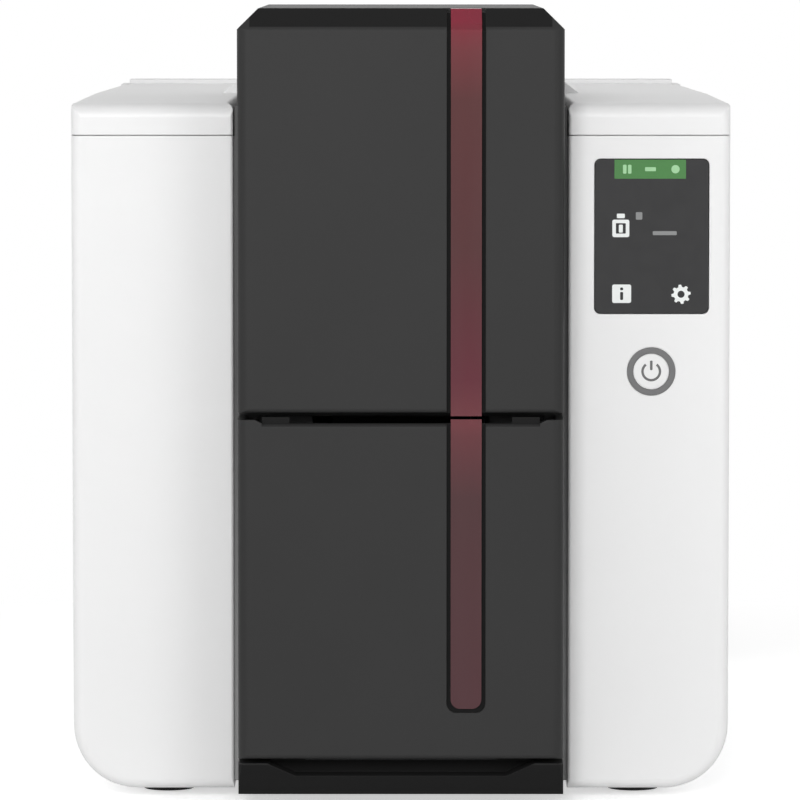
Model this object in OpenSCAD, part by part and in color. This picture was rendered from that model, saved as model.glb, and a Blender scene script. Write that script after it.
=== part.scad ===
// Desktop card printer: a white casing with a hinged lid round a dark card tower.
// The tower's upper door covers the card feeder, its lower door the output hopper.
// Millimetres. X runs to the right, Y to the back, Z up from the table.

/* [Body] */
// Width over the two side casings
body_w = 205; // [203:1:225]
// Depth from the front of the tower to the back of the casing
total_d = 381; // [379:1:400]
// Height of the flat shoulders beside the tower
shoulder_h = 217.5; // [216:0.5:226]
// Radius of the casing's lower side edges
corner_r = 20; // [12:1:24]
// Radius of the casing's front edges
front_edge_r = 3.2; // [2.6:0.1:4.5]
// Radius of the front panels' edges beside the tower
slot_edge_r = 1; // [0.4:0.1:1.4]
// Thickness of the moulded walls
wall = 2.5; // [2.2:0.1:2.8]
// Height of the rubber feet
foot_h = 3; // [2:0.5:6]
// Radius of a rubber foot
foot_r = 9; // [6:0.5:11]

/* [Tower] */
// Width of the tower
tower_w = 100.5; // [100:0.5:104]
// Height of the tower's top above the table
tower_h = 247; // [244:1:256]
// Depth of the tower
tower_d = 155; // [155:1:160]
// How far the tower stands in front of the casing
tower_proud = 25; // [24:0.5:28]
// Height of the tower's bottom above the table
tower_bottom = 4.5; // [4:0.5:7]
// Shadow gap between the tower and the casing
tower_gap = 1.85; // [1.2:0.05:2.5]
// Chamfer along the tower's top edges
bevel = 6.4; // [4:0.2:8]
// Radius of the tower's upright front edges
tower_edge_r = 3.2; // [2:0.2:4]

/* [Doors] */
// Height of the upper door's bottom edge
feeder_door_z = 123; // [122.5:0.5:124]
// Height of the lower door's bottom edge
hopper_door_z = 15.8; // [15.4:0.1:18]
// Gap between the two doors at their middle
door_gap = 3.3; // [2.6:0.1:4]
// Depth of a door's sides
door_d = 22.5; // [20:0.5:23]
// Distance of a door's hinge from its front face and bottom edge
door_pivot = 4; // [4:0.1:4.6]
// Radius of a door's bottom front edge
door_edge_r = 1.2; // [0.8:0.1:2]
// Running gap round the doors
door_play = 0.8; // [0.6:0.1:1]
// Height of the finger recess under the lower door
recess_h = 5.4; // [4:0.1:7]
// Width of the red window strips
strip_w = 9.5; // [6:0.5:14]
// Place of the strips, to the right of the middle
strip_x = 20.1; // [14:0.1:24]
// Height of the lower strip's bottom end
strip_end_z = 31.4; // [28:0.2:60]
// Width of the groove on each side of a strip
strip_groove = 1.25; // [0.6:0.05:2]

/* [Lid] */
// Height of the lid's skirt
lid_skirt = 10; // [8:0.5:12]
// Radius of the lid's upper front edge
lid_front_r = 4.4; // [3:0.2:5]
// Radius of the lid's upper side edges
lid_side_r = 1.5; // [0.6:0.1:2]
// Radius of the lid's upper edges beside the tower
lid_slot_r = 2.4; // [1:0.1:2.4]
// Radius of the lid's rear hinge bead
bead_r = 7; // [6:0.5:7.5]
// Fall of the lid's roof towards the back
roof_fall = 1.4; // [0.8:0.1:2.5]
// Half width of the raised spine at its foot
spine_foot = 62.5; // [56:0.5:70]
// Half width of the raised spine at its top
spine_top = 50; // [46:0.5:54]
// Height of the raised spine above the shoulders
spine_h = 5.7; // [4:0.1:8]
// Depth of the hinge cover along the back
rear_strip_d = 16.5; // [15:0.5:20]
// Width of the release button
release_w = 34; // [24:1:44]
// Length of the release button
release_l = 15; // [12:0.5:18]

/* [Controls] */
// Width of the touch screen
screen_w = 35.4; // [30:0.2:40]
// Height of the touch screen
screen_h = 48; // [40:0.5:56]
// Height of the screen's middle
screen_z = 176.1; // [170:0.1:178]
// Height of the power button's middle
power_z = 134; // [128:0.2:140]
// Outer radius of the power button's ring
ring_r = 7.5; // [6:0.1:8.5]
// Radius of the power button
power_r = 5.6; // [4:0.1:5.8]
// Travel of the power button
power_travel = 1.5; // [1:0.1:2]

/* [Cards and rollers] */
// Width of a card
card_w = 54; // [54:0.1:55]
// Length of a card
card_l = 85.6; // [84:0.1:86]
// Thickness of a card
card_t = 0.76; // [0.5:0.02:1]
// Height of the card path
path_z = 128; // [127.5:0.1:129]
// Distance between the transport rollers, shorter than a card
roller_pitch = 60; // [58:0.5:62]
// Distance from the feed roller to the first transport roller
feed_pitch = 46; // [46:0.5:48]
// Radius of the pick roller
pick_r = 9; // [8:0.1:9.2]
// Radius of the feed roller under the cleaning roller
feed_r = 8.8; // [8:0.1:9]
// Radius of the cleaning roller
clean_r = 8; // [7:0.1:9]
// Radius of the transport rollers
transport_r = 6; // [5.5:0.1:6.2]
// Radius of the pinch rollers above them
pinch_r = 5; // [4:0.1:5.5]
// Radius of the platen roller
platen_r = 8; // [7:0.1:8.6]
// Radius of the roller shafts
shaft_r = 3; // [2.6:0.1:3.2]

/* [Ribbon] */
// Height of the ribbon spools' axes
spool_z = 172; // [171:0.5:174]
// Radius of the spools' flanges
flange_r = 20; // [17:0.5:20.5]
// Radius of the full ribbon winding
full_r = 16; // [13:0.5:16.5]
// Radius of the spools' cores
core_r = 9; // [7:0.5:10]
// Width of the print head's block, along the ribbon's travel
head_d = 14; // [12:0.5:15]

/* [Hidden] */

// Colours
white_shell = [0.93, 0.93, 0.92];
tower_grey = [0.25, 0.25, 0.25];
window_red = [0.42, 0.2, 0.22];
dark_plastic = [0.14, 0.14, 0.15];
steel = [0.72, 0.73, 0.75];
rubber_black = [0.08, 0.08, 0.08];
gear_white = [0.88, 0.86, 0.8];
board_green = [0.05, 0.3, 0.16];

// Clearances
run = 0.05;      // radial clearance of a shaft in its bore
seam = 0.25;     // gap between the lid and the casing below it
play = 0.4;      // gap between a moving moulding and its neighbour
gear_play = 0.1; // added to the centre distance of two gears
lie = 0.3;       // gap of a soft or curved face that only lies on its neighbour

// Main planes
half_w = body_w / 2;
front_y = -total_d / 2;
back_y = total_d / 2;
face_y = front_y + tower_proud;
tower_back_y = front_y + tower_d;
half_tower = tower_w / 2;
slot_x = half_tower + tower_gap;
slot_back_y = tower_back_y + tower_gap;
seam_z = shoulder_h - lid_skirt;
casing_top = seam_z - seam / 2;
lid_bottom = seam_z + seam / 2;
tray_t = 2.5;
tray_top = foot_h + wall + tray_t;

// Lid hinge
roof_rear_z = shoulder_h - roof_fall;
strip_front_y = back_y - rear_strip_d;
hinge_y = strip_front_y - door_play - bead_r;
bead_proud = 0.3;
hinge_z = roof_rear_z - bead_r + bead_proud;
skirt_end_y = hinge_y - bead_r - door_play;
bead_x = half_w - wall - play;
hinge_pin_r = 2.5;
hinge_pin_l = 12;
slot_wall = 2;
rib_pitch = 50;
tongue_h = 1.5;
tongue_in = 1.5;
tongue_x = slot_x + slot_wall + play;

// Tower
frame_in_x = half_tower - wall;
door_t = 2.5;
door_back_y = front_y + door_d;
frame_y = door_back_y + door_play;
inner_inset = door_t + 0.5;
inner_x = half_tower - inner_inset;
inner_t = 2.5;
stack_y = front_y + 7.5;
door_hinge_y = front_y + door_pivot;
feeder_hinge_z = feeder_door_z + door_pivot;
hopper_hinge_z = hopper_door_z + door_pivot;
door_sweep = sqrt(2) * (door_pivot - door_edge_r) + door_edge_r;
lip_top = hopper_hinge_z - door_sweep - lie;
end_gap = 2.2;
hopper_door_top = feeder_door_z - end_gap;
door_pin_r = 1.25;
ear_r = 2.6;

// Card chambers
stack_play = 0.6;
bin_x = card_w / 2 + stack_play;
bin_t = 2;
stack_back_y = stack_y + card_l + stack_play;
floor_t = 2.5;
hopper_ceiling_z = path_z - 20;

// Mechanism
entry_y = tower_back_y + 15.5;
print_y = entry_y + roller_pitch;
exit_y = print_y + roller_pitch;
feed_y = entry_y - feed_pitch;
small_teeth = 20;
idler_teeth = 22;
pinion_teeth = 18;
gear_w = 5;
idler_y = feed_y - (small_teeth + idler_teeth) / 2 - gear_play;
pick_y = idler_y - (small_teeth + idler_teeth) / 2 - gear_play;
pick_z = path_z - pick_r;
feed_z = path_z - feed_r;
clean_z = path_z + card_t + clean_r;
transport_z = path_z - transport_r;
pinch_z = path_z + card_t + pinch_r;
platen_z = path_z - platen_r;
roller_x = 22;
platen_x = roller_x + 3;
plate_x = frame_in_x - 10.5;
plate_t = 1.5;
bush_r = 5;
gear_x = plate_x + plate_t + 2.5;

// Ribbon
takeup_y = entry_y + 5;
supply_y = exit_y - 15;
takeup_teeth = 48;
ribbon_teeth = 20;
ribbon_angle = 225;
ribbon_reach = (takeup_teeth + ribbon_teeth) / 2 + gear_play;
ribbon_motor_y = takeup_y + ribbon_reach * cos(ribbon_angle);
ribbon_motor_z = spool_z + ribbon_reach * sin(ribbon_angle);
journal_r = 4;
film_t = 0.15;
film_z = path_z + card_t + 0.15;

// Feed motor, to the lower rear of the feed roller
feed_motor_angle = -45;
feed_reach = (small_teeth + pinion_teeth) / 2 + gear_play;
feed_motor_y = feed_y + feed_reach * cos(feed_motor_angle);
feed_motor_z = feed_z + feed_reach * sin(feed_motor_angle);

// Main drive
pulley_r = 9;
platen_pulley_r = pulley_r + (transport_z - platen_z);
motor_pulley_r = 6;
belt_t = 1.2;
belt_w = 5;
belt_play = 0.2;
drive_motor_w = 42;
drive_drop = 56;
drive_motor_l = 34;
drive_motor_z = path_z - drive_drop;
small_motor_l = 30;

// Controls
control_x = slot_x + (half_w - slot_x) / 2 + 0.7;
screen_r = 2;

// Sockets and fan in the rear panel
socket_z = 34;
inlet_x = 72;
inlet_r = 5.5;
usb_x = 50;
usb_w = 12;
usb_h = 11;
lan_x = 26;
lan_w = 16;
lan_h = 13.5;
lock_x = -76;
fan_x = -58;
fan_z = 95;
fan_r = 18.5;
fan_w = 40;
fan_t = 10;

// ---------- Helpers ----------

// A box from ranges along each axis
module block(x, y, z)
    translate([x[0], y[0], z[0]]) cube([x[1] - x[0], y[1] - y[0], z[1] - z[0]]);

// Extrudes a Y-Z outline along X from x0 to x1
module along_x(x0, x1) translate([x0, 0, 0]) rotate([90, 0, 90]) linear_extrude(x1 - x0) children();

// Extrudes an X-Z outline along Y from y0 to y1
module along_y(y0, y1) translate([0, y1, 0]) rotate([90, 0, 0]) linear_extrude(y1 - y0) children();

// A cylinder along X from x0 to x1, with its axis at y and z
module rod_x(x0, x1, y, z, r) translate([x0, y, z]) rotate([0, 90, 0]) cylinder(r = r, h = x1 - x0, $fn = 64);

// A cylinder along Y from y0 to y1, with its axis at x and z
module rod_y(y0, y1, x, z, r) translate([x, y1, z]) rotate([90, 0, 0]) cylinder(r = r, h = y1 - y0, $fn = 64);

module both_sides() {
    children();
    mirror([1, 0, 0]) children();
}

// What a square corner loses when it is rounded; the corner is at the origin
module corner_waste(r) translate([-0.01, -0.01]) difference() {
    square(r + 0.01);
    translate([r + 0.01, r + 0.01]) circle(r, $fn = 64);
}

// The same in three flat facets
module corner_facets(r) polygon([[-0.01, -0.01], [r, -0.01], [r, 0],
    for (a = [240, 210]) r * [1 + cos(a), 1 + sin(a)], [0, r], [-0.01, r]]);

// A rectangle about the origin with round corners
module round_rect(w, h, r) {
    square([w, h - 2 * r], center = true);
    square([w - 2 * r, h], center = true);
    for (x = [r - w / 2, w / 2 - r])
        for (y = [r - h / 2, h / 2 - r])
            translate([x, y]) circle(r, $fn = 48);
}

// Involute gear outline of module 1
pressure = 20;
function involute_angle(a) = tan(a) * 180 / PI - a;
function half_tooth(r, base_r, teeth, slack) =
    90 / teeth - slack + involute_angle(pressure)
    - (r > base_r ? involute_angle(acos(base_r / r)) : 0);
function mesh_angle(toward, angle, teeth, next_teeth) =
    toward + 180 - 180 / next_teeth + (toward - angle) * teeth / next_teeth;

module gear_outline(teeth, angle = 0) {
    pitch_r = teeth / 2;
    base_r = pitch_r * cos(pressure);
    tip_r = pitch_r + 1;
    root_r = pitch_r - 1.25;
    steps = 3;
    slack = 5.5 / teeth;
    radii = concat([root_r], [for (i = [0:steps]) max(base_r, root_r + 0.05)
        + (tip_r - max(base_r, root_r + 0.05)) * i / steps]);
    rotate(angle) polygon([for (t = [0:teeth - 1]) each concat(
        [for (r = radii) let (a = 360 * t / teeth - half_tooth(r, base_r, teeth, slack))
            r * [cos(a), sin(a)]],
        [for (i = [len(radii) - 1:-1:0]) let (r = radii[i],
            a = 360 * t / teeth + half_tooth(r, base_r, teeth, slack)) r * [cos(a), sin(a)]])]);
}

// A gear on the left side of the chassis, round the axis at y and z
module gear(teeth, y, z, angle, hole_r) difference() {
    translate([0, y, z]) along_x(-gear_x - gear_w, -gear_x) gear_outline(teeth, angle);
    if (hole_r > 0) rod_x(-gear_x - gear_w - 1, -gear_x + 1, y, z, hole_r);
}

// ---------- Casings ----------

// Wall with a return: x0 to x1, from the face to the back, rounded at the front of x1
module casing_corner_section(x0, x1) difference() {
    translate([x0, face_y]) square([x1 - x0, back_y - face_y]);
    translate([x0 - 1, face_y + wall]) square([x1 - x0 - wall + 1, back_y - face_y]);
    translate([x1, face_y]) mirror([1, 0]) corner_waste(front_edge_r);
}

module casing_shell() {
    upright_z = foot_h + corner_r;
    // side wall and the upper part of the fascia
    translate([0, 0, upright_z]) linear_extrude(roof_rear_z - upright_z)
        casing_corner_section(slot_x, half_w);
    // round lower corner
    translate([half_w - corner_r, 0, upright_z]) rotate([-90, 0, 0])
        rotate_extrude(angle = 90, $fn = 96) casing_corner_section(0, corner_r);
    // bottom strip and the lower part of the fascia
    along_x(slot_x, half_w - corner_r) translate([0, foot_h]) difference() {
        union() {
            translate([face_y, 0]) square([wall, corner_r]);
            translate([face_y, 0]) square([back_y - face_y, wall]);
        }
        translate([face_y, 0]) corner_waste(front_edge_r);
    }
    // ribs that stiffen the side wall
    for (i = [0:5])
        block([half_w - wall - 2, half_w - wall + 0.5],
            [face_y + 28 + i * rib_pitch, face_y + 29.5 + i * rib_pitch],
            [upright_z, casing_top - 6]);
    // return beside the tower
    block([slot_x, slot_x + slot_wall], [face_y + wall, face_y + 22], [foot_h + wall, casing_top]);
}

// Outline of what is cut off above the casing's top edge, leaving the hinge ear
module above_casing() difference() {
    translate([face_y - 1, casing_top]) square([back_y - face_y + 2, 30]);
    translate([hinge_y, hinge_z]) circle(bead_r, $fn = 64);
    translate([hinge_y, casing_top - 1]) square([back_y - hinge_y, hinge_z + bead_r - casing_top + 1]);
}

// Plan of the tongue that the wall's inner half forms behind the seam
module tongue_plan() difference() {
    translate([tongue_x, face_y + tongue_in])
        square([half_w - tongue_in - tongue_x, skirt_end_y - 3 - face_y - tongue_in]);
    translate([half_w - tongue_in, face_y + tongue_in]) mirror([1, 0]) corner_waste(front_edge_r - tongue_in);
}

module casing_half() difference() {
    casing_shell();
    difference() {
        along_x(slot_x - 1, half_w + 1) above_casing();
        translate([0, 0, casing_top - 1]) linear_extrude(seam + 1 + tongue_h) tongue_plan();
    }
    rod_x(half_w - wall - 1, half_w - 0.8, hinge_y, hinge_z, hinge_pin_r);
    translate([slot_x, face_y, foot_h - 1]) linear_extrude(shoulder_h) corner_waste(slot_edge_r);
}

module left_casing() color(white_shell) mirror([1, 0, 0]) casing_half();

module right_casing() color(white_shell) difference() {
    casing_half();
    translate([control_x, face_y + wall + 1, screen_z]) rotate([90, 0, 0])
        linear_extrude(wall + 2) round_rect(screen_w + play, screen_h + play, screen_r);
    rod_y(face_y - 1, face_y + wall + 1, control_x, power_z, ring_r + run);
}

module base_tray() color(dark_plastic) difference() {
    union() {
        block([-half_w + corner_r, half_w - corner_r], [face_y + 23, back_y - wall - play],
            [foot_h + wall, tray_top]);
        block([-slot_x + play, slot_x - play], [slot_back_y, back_y - wall - play], [foot_h, tray_top]);
    }
    // room for the tower, which reaches down between the casings
    block([-slot_x, slot_x], [face_y - 1, tower_back_y + play], [0, tray_top + 1]);
    // cooling slots
    for (i = [0:9])
        translate([0, entry_y + 30 + i * 9, foot_h - 1]) linear_extrude(tray_top) round_rect(56, 4, 1.9);
}

module rubber_feet() color(rubber_black)
    for (x = [-1, 1])
        for (y = [face_y + 25, back_y - 25])
            translate([x * (half_w - corner_r - foot_r), y, 0])
                cylinder(r1 = foot_r - 1, r2 = foot_r, h = foot_h, $fn = 48);

module rear_cover() color(white_shell) {
    cover_x = half_w - wall - 0.2;
    cover_z = path_z + 22;
    along_x(-cover_x, cover_x) difference() {
        translate([strip_front_y, cover_z]) square([back_y - strip_front_y, shoulder_h + 0.2 - cover_z]);
        translate([strip_front_y - 1, cover_z - 1])
            square([rear_strip_d + 1 - wall, shoulder_h + 0.2 - wall - cover_z + 1]);
        translate([back_y, shoulder_h + 0.2]) rotate(180) corner_waste(2);
    }
    // lip that closes the cover's front edge
    block([-cover_x, cover_x], [strip_front_y, strip_front_y + 2], [shoulder_h - 9, shoulder_h - 1]);
}

module rear_panel() color(dark_plastic) difference() {
    panel_x = half_w - wall - 0.2;
    panel_r = corner_r - wall - 0.2;
    along_y(back_y - wall, back_y) difference() {
        translate([-panel_x, foot_h + wall + 0.2]) square([2 * panel_x, path_z + 21.6 - foot_h - wall]);
        for (s = [-1, 1])
            translate([s * panel_x, foot_h + wall + 0.2]) mirror([s > 0 ? 1 : 0, 0]) corner_waste(panel_r);
    }
    // reject slot in line with the card path
    block([-bin_x - 2, bin_x + 2], [back_y - wall - 1, back_y + 1], [path_z - 3, path_z + 5]);
    // sockets
    rod_y(back_y - wall - 1, back_y + 1, inlet_x, socket_z, inlet_r + play);
    block([usb_x - usb_w / 2 - play, usb_x + usb_w / 2 + play], [back_y - wall - 1, back_y + 1],
        [socket_z - usb_h / 2 - play, socket_z + usb_h / 2 + play]);
    block([lan_x - lan_w / 2 - play, lan_x + lan_w / 2 + play], [back_y - wall - 1, back_y + 1],
        [socket_z - lan_h / 2 - play, socket_z + lan_h / 2 + play]);
    // security lock slot
    block([lock_x - 3.5, lock_x + 3.5], [back_y - wall - 1, back_y + 1], [socket_z - 1.5, socket_z + 1.5]);
    // recesses for the screws
    for (x = [-panel_x + 7, panel_x - 7], z = [corner_r + foot_h + 6, path_z + 12])
        rod_y(back_y - 0.9, back_y + 1, x, z, 3.4);
    // fan grille and a row of cooling slots
    for (i = [-3:3]) {
        half = sqrt(pow(fan_r, 2) - pow(i * 5, 2));
        block([fan_x - half, fan_x + half], [back_y - wall - 1, back_y + 1],
            [fan_z + i * 5 - 1.25, fan_z + i * 5 + 1.25]);
    }
    for (i = [0:8])
        block([24 + i * 7, 27 + i * 7], [back_y - wall - 1, back_y + 1], [fan_z - 14, fan_z + 14]);
}

// ---------- Tower ----------

// Front view of the tower, taken in by i all round
module tower_outline(i, z0 = tower_bottom) {
    b = bevel + i * (sqrt(2) - 1);
    x = half_tower - i;
    polygon([[-x, z0], [x, z0], [x, tower_h - b], [half_tower - b, tower_h - i],
        [b - half_tower, tower_h - i], [-x, tower_h - b]]);
}

module tower_frame() color(tower_grey) difference() {
    union() {
        // rear housing
        difference() {
            along_y(frame_y, tower_back_y) tower_outline(0);
            along_y(frame_y + wall, tower_back_y - wall) tower_outline(wall, tower_bottom + wall);
        }
        // front boxes inside the doors
        for (z = [[hopper_hinge_z - ear_r, hopper_door_top - 2], [feeder_hinge_z - ear_r, tower_h]])
            intersection() {
                difference() {
                    along_y(stack_y, frame_y + wall) tower_outline(inner_inset);
                    along_y(stack_y - 1, frame_y + wall + 1) tower_outline(inner_inset + inner_t);
                }
                block([-half_tower, half_tower], [front_y, frame_y + 9], z);
            }
        // hinge ears
        both_sides()
            for (z = [hopper_hinge_z, feeder_hinge_z]) {
                rod_x(inner_x - inner_t, inner_x, door_hinge_y, z, ear_r);
                block([inner_x - inner_t, inner_x], [door_hinge_y, stack_y + 4], [z - ear_r, z + ear_r]);
            }
        // feeder floor and hopper ceiling
        block([-inner_x + inner_t / 2, inner_x - inner_t / 2], [stack_y + 1.5, frame_y + wall],
            [path_z - lie - floor_t, path_z - lie]);
        block([-frame_in_x - 0.5, frame_in_x + 0.5], [frame_y, stack_back_y + bin_t],
            [path_z - lie - floor_t, path_z - lie]);
        // base lip under the lower door
        lip();
        // flanges that fill the gap to the casings, narrower beside the lid
        both_sides() {
            block([half_tower - 0.5, slot_x], [face_y + 1.5, face_y + 6], [foot_h + wall, casing_top - 0.5]);
            block([half_tower - 0.5, slot_x - play], [face_y + 1.5, face_y + 6],
                [casing_top - 1, shoulder_h - 1]);
        }
        // post for the idler gear
        rod_x(-half_tower + 0.5, 0.5 - gear_x, idler_y, feed_z, idler_post_r);
    }
    // way through the housing, from front to back
    block([inner_t - inner_x, inner_x - inner_t], [frame_y - 1, frame_y + wall + 1],
        [lip_top, path_z - lie - floor_t - 5]);
    block([inner_t - inner_x, inner_x - inner_t], [frame_y - 1, frame_y + wall + 1],
        [path_z - lie, tower_h - inner_inset - inner_t - bevel]);
    block([-frame_in_x, frame_in_x], [tower_back_y - wall - 1, tower_back_y + 1], [tray_top, seam_z - 4]);
    // pick roller's window in the floor
    block([-roller_x - 1, roller_x + 1], [pick_y - pick_r - 1, pick_y + pick_r + 1],
        [path_z - 5, path_z + 1]);
    // room for the gears in the floor
    block([-gear_x - gear_w - 0.8, 0.8 - gear_x], [pick_y - 12, stack_back_y + bin_t + 1],
        [path_z - 6, path_z + 1]);
    // catch for the lid's latch
    block([-hook_x - 1, hook_x + 1], [tower_back_y - 1.2, tower_back_y + 1],
        [hook_pivot_z - 3, hook_pivot_z + 3]);
    // bores for the pins and the pick roller's shaft
    both_sides() {
        for (z = [hopper_hinge_z, feeder_hinge_z])
            rod_x(inner_x - inner_t - 1, inner_x + 1, door_hinge_y, z, door_pin_r);
        rod_x(frame_in_x - 1, half_tower + 1, pick_y, pick_z, shaft_r + run);
    }
}

// Base of the tower's front, with the finger recess
module lip() difference() {
    intersection() {
        translate([0, 0, tower_bottom]) linear_extrude(lip_top - tower_bottom) difference() {
            translate([-half_tower, front_y]) square([tower_w, frame_y + wall - front_y]);
            translate([-half_tower, front_y]) corner_waste(tower_edge_r);
            translate([half_tower, front_y]) mirror([1, 0]) corner_waste(tower_edge_r);
        }
        along_x(-half_tower, half_tower) polygon([[front_y + 0.6, lip_top], [frame_y + wall, lip_top],
            [frame_y + wall, tower_bottom], [front_y + lip_lean, tower_bottom]]);
    }
    recess_z = hopper_door_z - recess_h;
    along_y(front_y - 1, front_y + 11) polygon([[-recess_x, lip_top + 1], [recess_x, lip_top + 1],
        [recess_x - 2 * recess_h, recess_z], [2 * recess_h - recess_x, recess_z]]);
}

recess_x = half_tower - 6.8;
lip_lean = 3;

module feeder_bin() color(dark_plastic) {
    top_z = tower_h - 25;
    floor_z = path_z - lie;
    difference() {
        union() {
            both_sides() {
                block([bin_x, bin_x + bin_t], [stack_y + 2, stack_back_y + bin_t], [floor_z, top_z]);
                for (y = [frame_y + wall + 3, stack_back_y - 20, stack_back_y + bin_t - 1.5])
                    block([bin_x, frame_in_x], [y, y + 1.5], [floor_z, top_z]);
            }
            block([-bin_x - bin_t, bin_x + bin_t], [stack_back_y, stack_back_y + bin_t], [floor_z, top_z]);
        }
        // way out for one card
        block([-bin_x, bin_x], [stack_back_y - 1, stack_back_y + bin_t + 1],
            [floor_z - 1, path_z + 1.7 * card_t]);
        // room for the gears
        block([-frame_in_x - 1, 1 - gear_x], [pick_y - 13, feed_y], [floor_z - 1, path_z + 5]);
        // sight slots that show the stack
        both_sides() for (i = [0:2])
            block([bin_x - 1, bin_x + bin_t + 1], [frame_y + 16 + i * 14, frame_y + 22 + i * 14],
                [floor_z + 20, top_z - 12]);
    }
}

module hopper_bin() color(dark_plastic) {
    floor_z = lip_top;
    top_z = hopper_ceiling_z - 2;
    cheek_x = bin_x + bin_t;
    difference() {
        union() {
            block([-cheek_x, cheek_x], [stack_y + 2, stack_back_y + bin_t], [floor_z, floor_z + bin_t]);
            both_sides() {
                block([bin_x, cheek_x], [stack_y + 2, flap_y1 - 1], [floor_z, top_z]);
                block([bin_x, frame_in_x], [frame_y + wall + 3, frame_y + wall + 4.5],
                    [floor_z, path_z - floor_t - 2 * lie]);
                block([bin_x, frame_in_x], [stack_back_y, stack_back_y + 1.5], [floor_z, top_z]);
                // cheeks that carry the diverter flap
                block([bin_x, cheek_x], [stack_back_y + bin_t + 0.2, flap_y1 - 1], [floor_z, path_z - 1]);
            }
            block([-cheek_x, cheek_x], [stack_back_y, stack_back_y + bin_t], [floor_z, top_z - 12]);
        }
        rod_x(-cheek_x - 1, cheek_x + 1, flap_y0, flap_z, flap_shaft_r + run);
    }
}

flap_y0 = stack_back_y + 5;
flap_y1 = feed_y - feed_r - 2;
flap_z = path_z - 3;
flap_shaft_r = 2;

module diverter_flap() color(gear_white) {
    rod_x(-bin_x - bin_t + 0.2, bin_x + bin_t - 0.2, flap_y0, flap_z, flap_shaft_r);
    along_x(lie - bin_x, bin_x - lie) difference() {
        polygon([[flap_y0 - 2, flap_z], [flap_y0 - 1, path_z - 0.5], [flap_y1 - 1, path_z - 0.5],
            [flap_y1, path_z - 1.2], [flap_y0 + 3, flap_z - 1]]);
        translate([flap_y0, flap_z]) circle(flap_shaft_r - 0.5, $fn = 32);
    }
}

// ---------- Doors ----------

door_top_inset = 1.2;
strip_proud = 0.1;

// Side view of the upper door, taken in by i
module feeder_side(i, z0) {
    b = bevel + i * (sqrt(2) - 1);
    polygon([[front_y + i, z0], [door_back_y, z0], [door_back_y, tower_h - i],
        [front_y + b, tower_h - i], [front_y + i, tower_h - b]]);
}

// Plan of a door, taken in by i
module door_plan(i) {
    r = tower_edge_r - min(i, tower_edge_r - 0.5);
    difference() {
        translate([i - half_tower, front_y + i]) square([tower_w - 2 * i, door_d - i]);
        translate([i - half_tower, front_y + i]) corner_waste(r);
        translate([half_tower - i, front_y + i]) mirror([1, 0]) corner_waste(r);
    }
}

// Cuts that both doors share: ear pockets, pin bores and the round bottom edge
module door_cuts(hinge_z0) {
    bottom = hinge_z0 - door_pivot;
    both_sides() {
        block([inner_x - inner_t - 0.6, half_tower - door_t], [front_y + 1, front_y + door_t + 1],
            [bottom - 1, hinge_z0 + ear_r + 0.6]);
        rod_x(inner_x, half_tower + 1, door_hinge_y, hinge_z0, door_pin_r + run);
    }
    translate([0, front_y, bottom]) along_x(-half_tower - 1, half_tower + 1) corner_waste(door_edge_r);
}

module feeder_door() color(tower_grey) {
    feeder_shell();
    door_ribs(feeder_hinge_z + 8, tower_h - bevel - 6);
}

module feeder_shell() difference() {
    intersection() {
        along_y(front_y, door_back_y) tower_outline(0, feeder_door_z);
        translate([0, 0, feeder_door_z]) linear_extrude(tower_h) door_plan(0);
        along_x(-half_tower, half_tower) feeder_side(0, feeder_door_z);
    }
    intersection() {
        along_y(front_y, door_back_y + 1) tower_outline(door_t, feeder_door_z - 5);
        along_x(-half_tower, half_tower) union() {
            feeder_side(door_t, feeder_door_z - 5);
            translate([door_back_y - 1, feeder_door_z - 5]) square([5, tower_h - door_t - feeder_door_z + 5]);
        }
    }
    door_cuts(feeder_hinge_z);
    // groove for the window strip, over the chamfer and the top
    along_x(strip_x - strip_w / 2 - strip_groove, strip_x + strip_w / 2 + strip_groove) difference() {
        translate([front_y - 1, feeder_door_z - 1]) square([door_d + 2, tower_h]);
        feeder_side(door_top_inset, feeder_door_z - 2);
        translate([door_back_y - 1, feeder_door_z]) square([5, tower_h - door_top_inset - feeder_door_z]);
    }
}

module feeder_window() color(window_red)
    along_x(strip_x - strip_w / 2, strip_x + strip_w / 2) difference() {
        feeder_side(strip_proud, feeder_door_z - 1);
        feeder_side(door_top_inset, feeder_door_z - 2);
        translate([door_back_y - 1, feeder_door_z - 2]) square([5,
            tower_h - door_top_inset - feeder_door_z + 2]);
    }

// Ribs inside a door's front
module door_ribs(z0, z1) for (x = [-0.6, -0.2, 0.2, 0.6])
    block([x * half_tower - 0.8, x * half_tower + 0.8], [front_y + door_t - 0.5, stack_y - 1.5], [z0, z1]);

module hopper_door() color(tower_grey) {
    hopper_shell();
    door_ribs(hopper_hinge_z + 8, hopper_door_top - 10);
    // stops that show in the gap
    both_sides() block([relief_x - 8.5, relief_x], [front_y + door_t / 2, front_y + door_t],
        [feeder_door_z - door_gap - 1, feeder_door_z - 1.4]);
}

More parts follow.
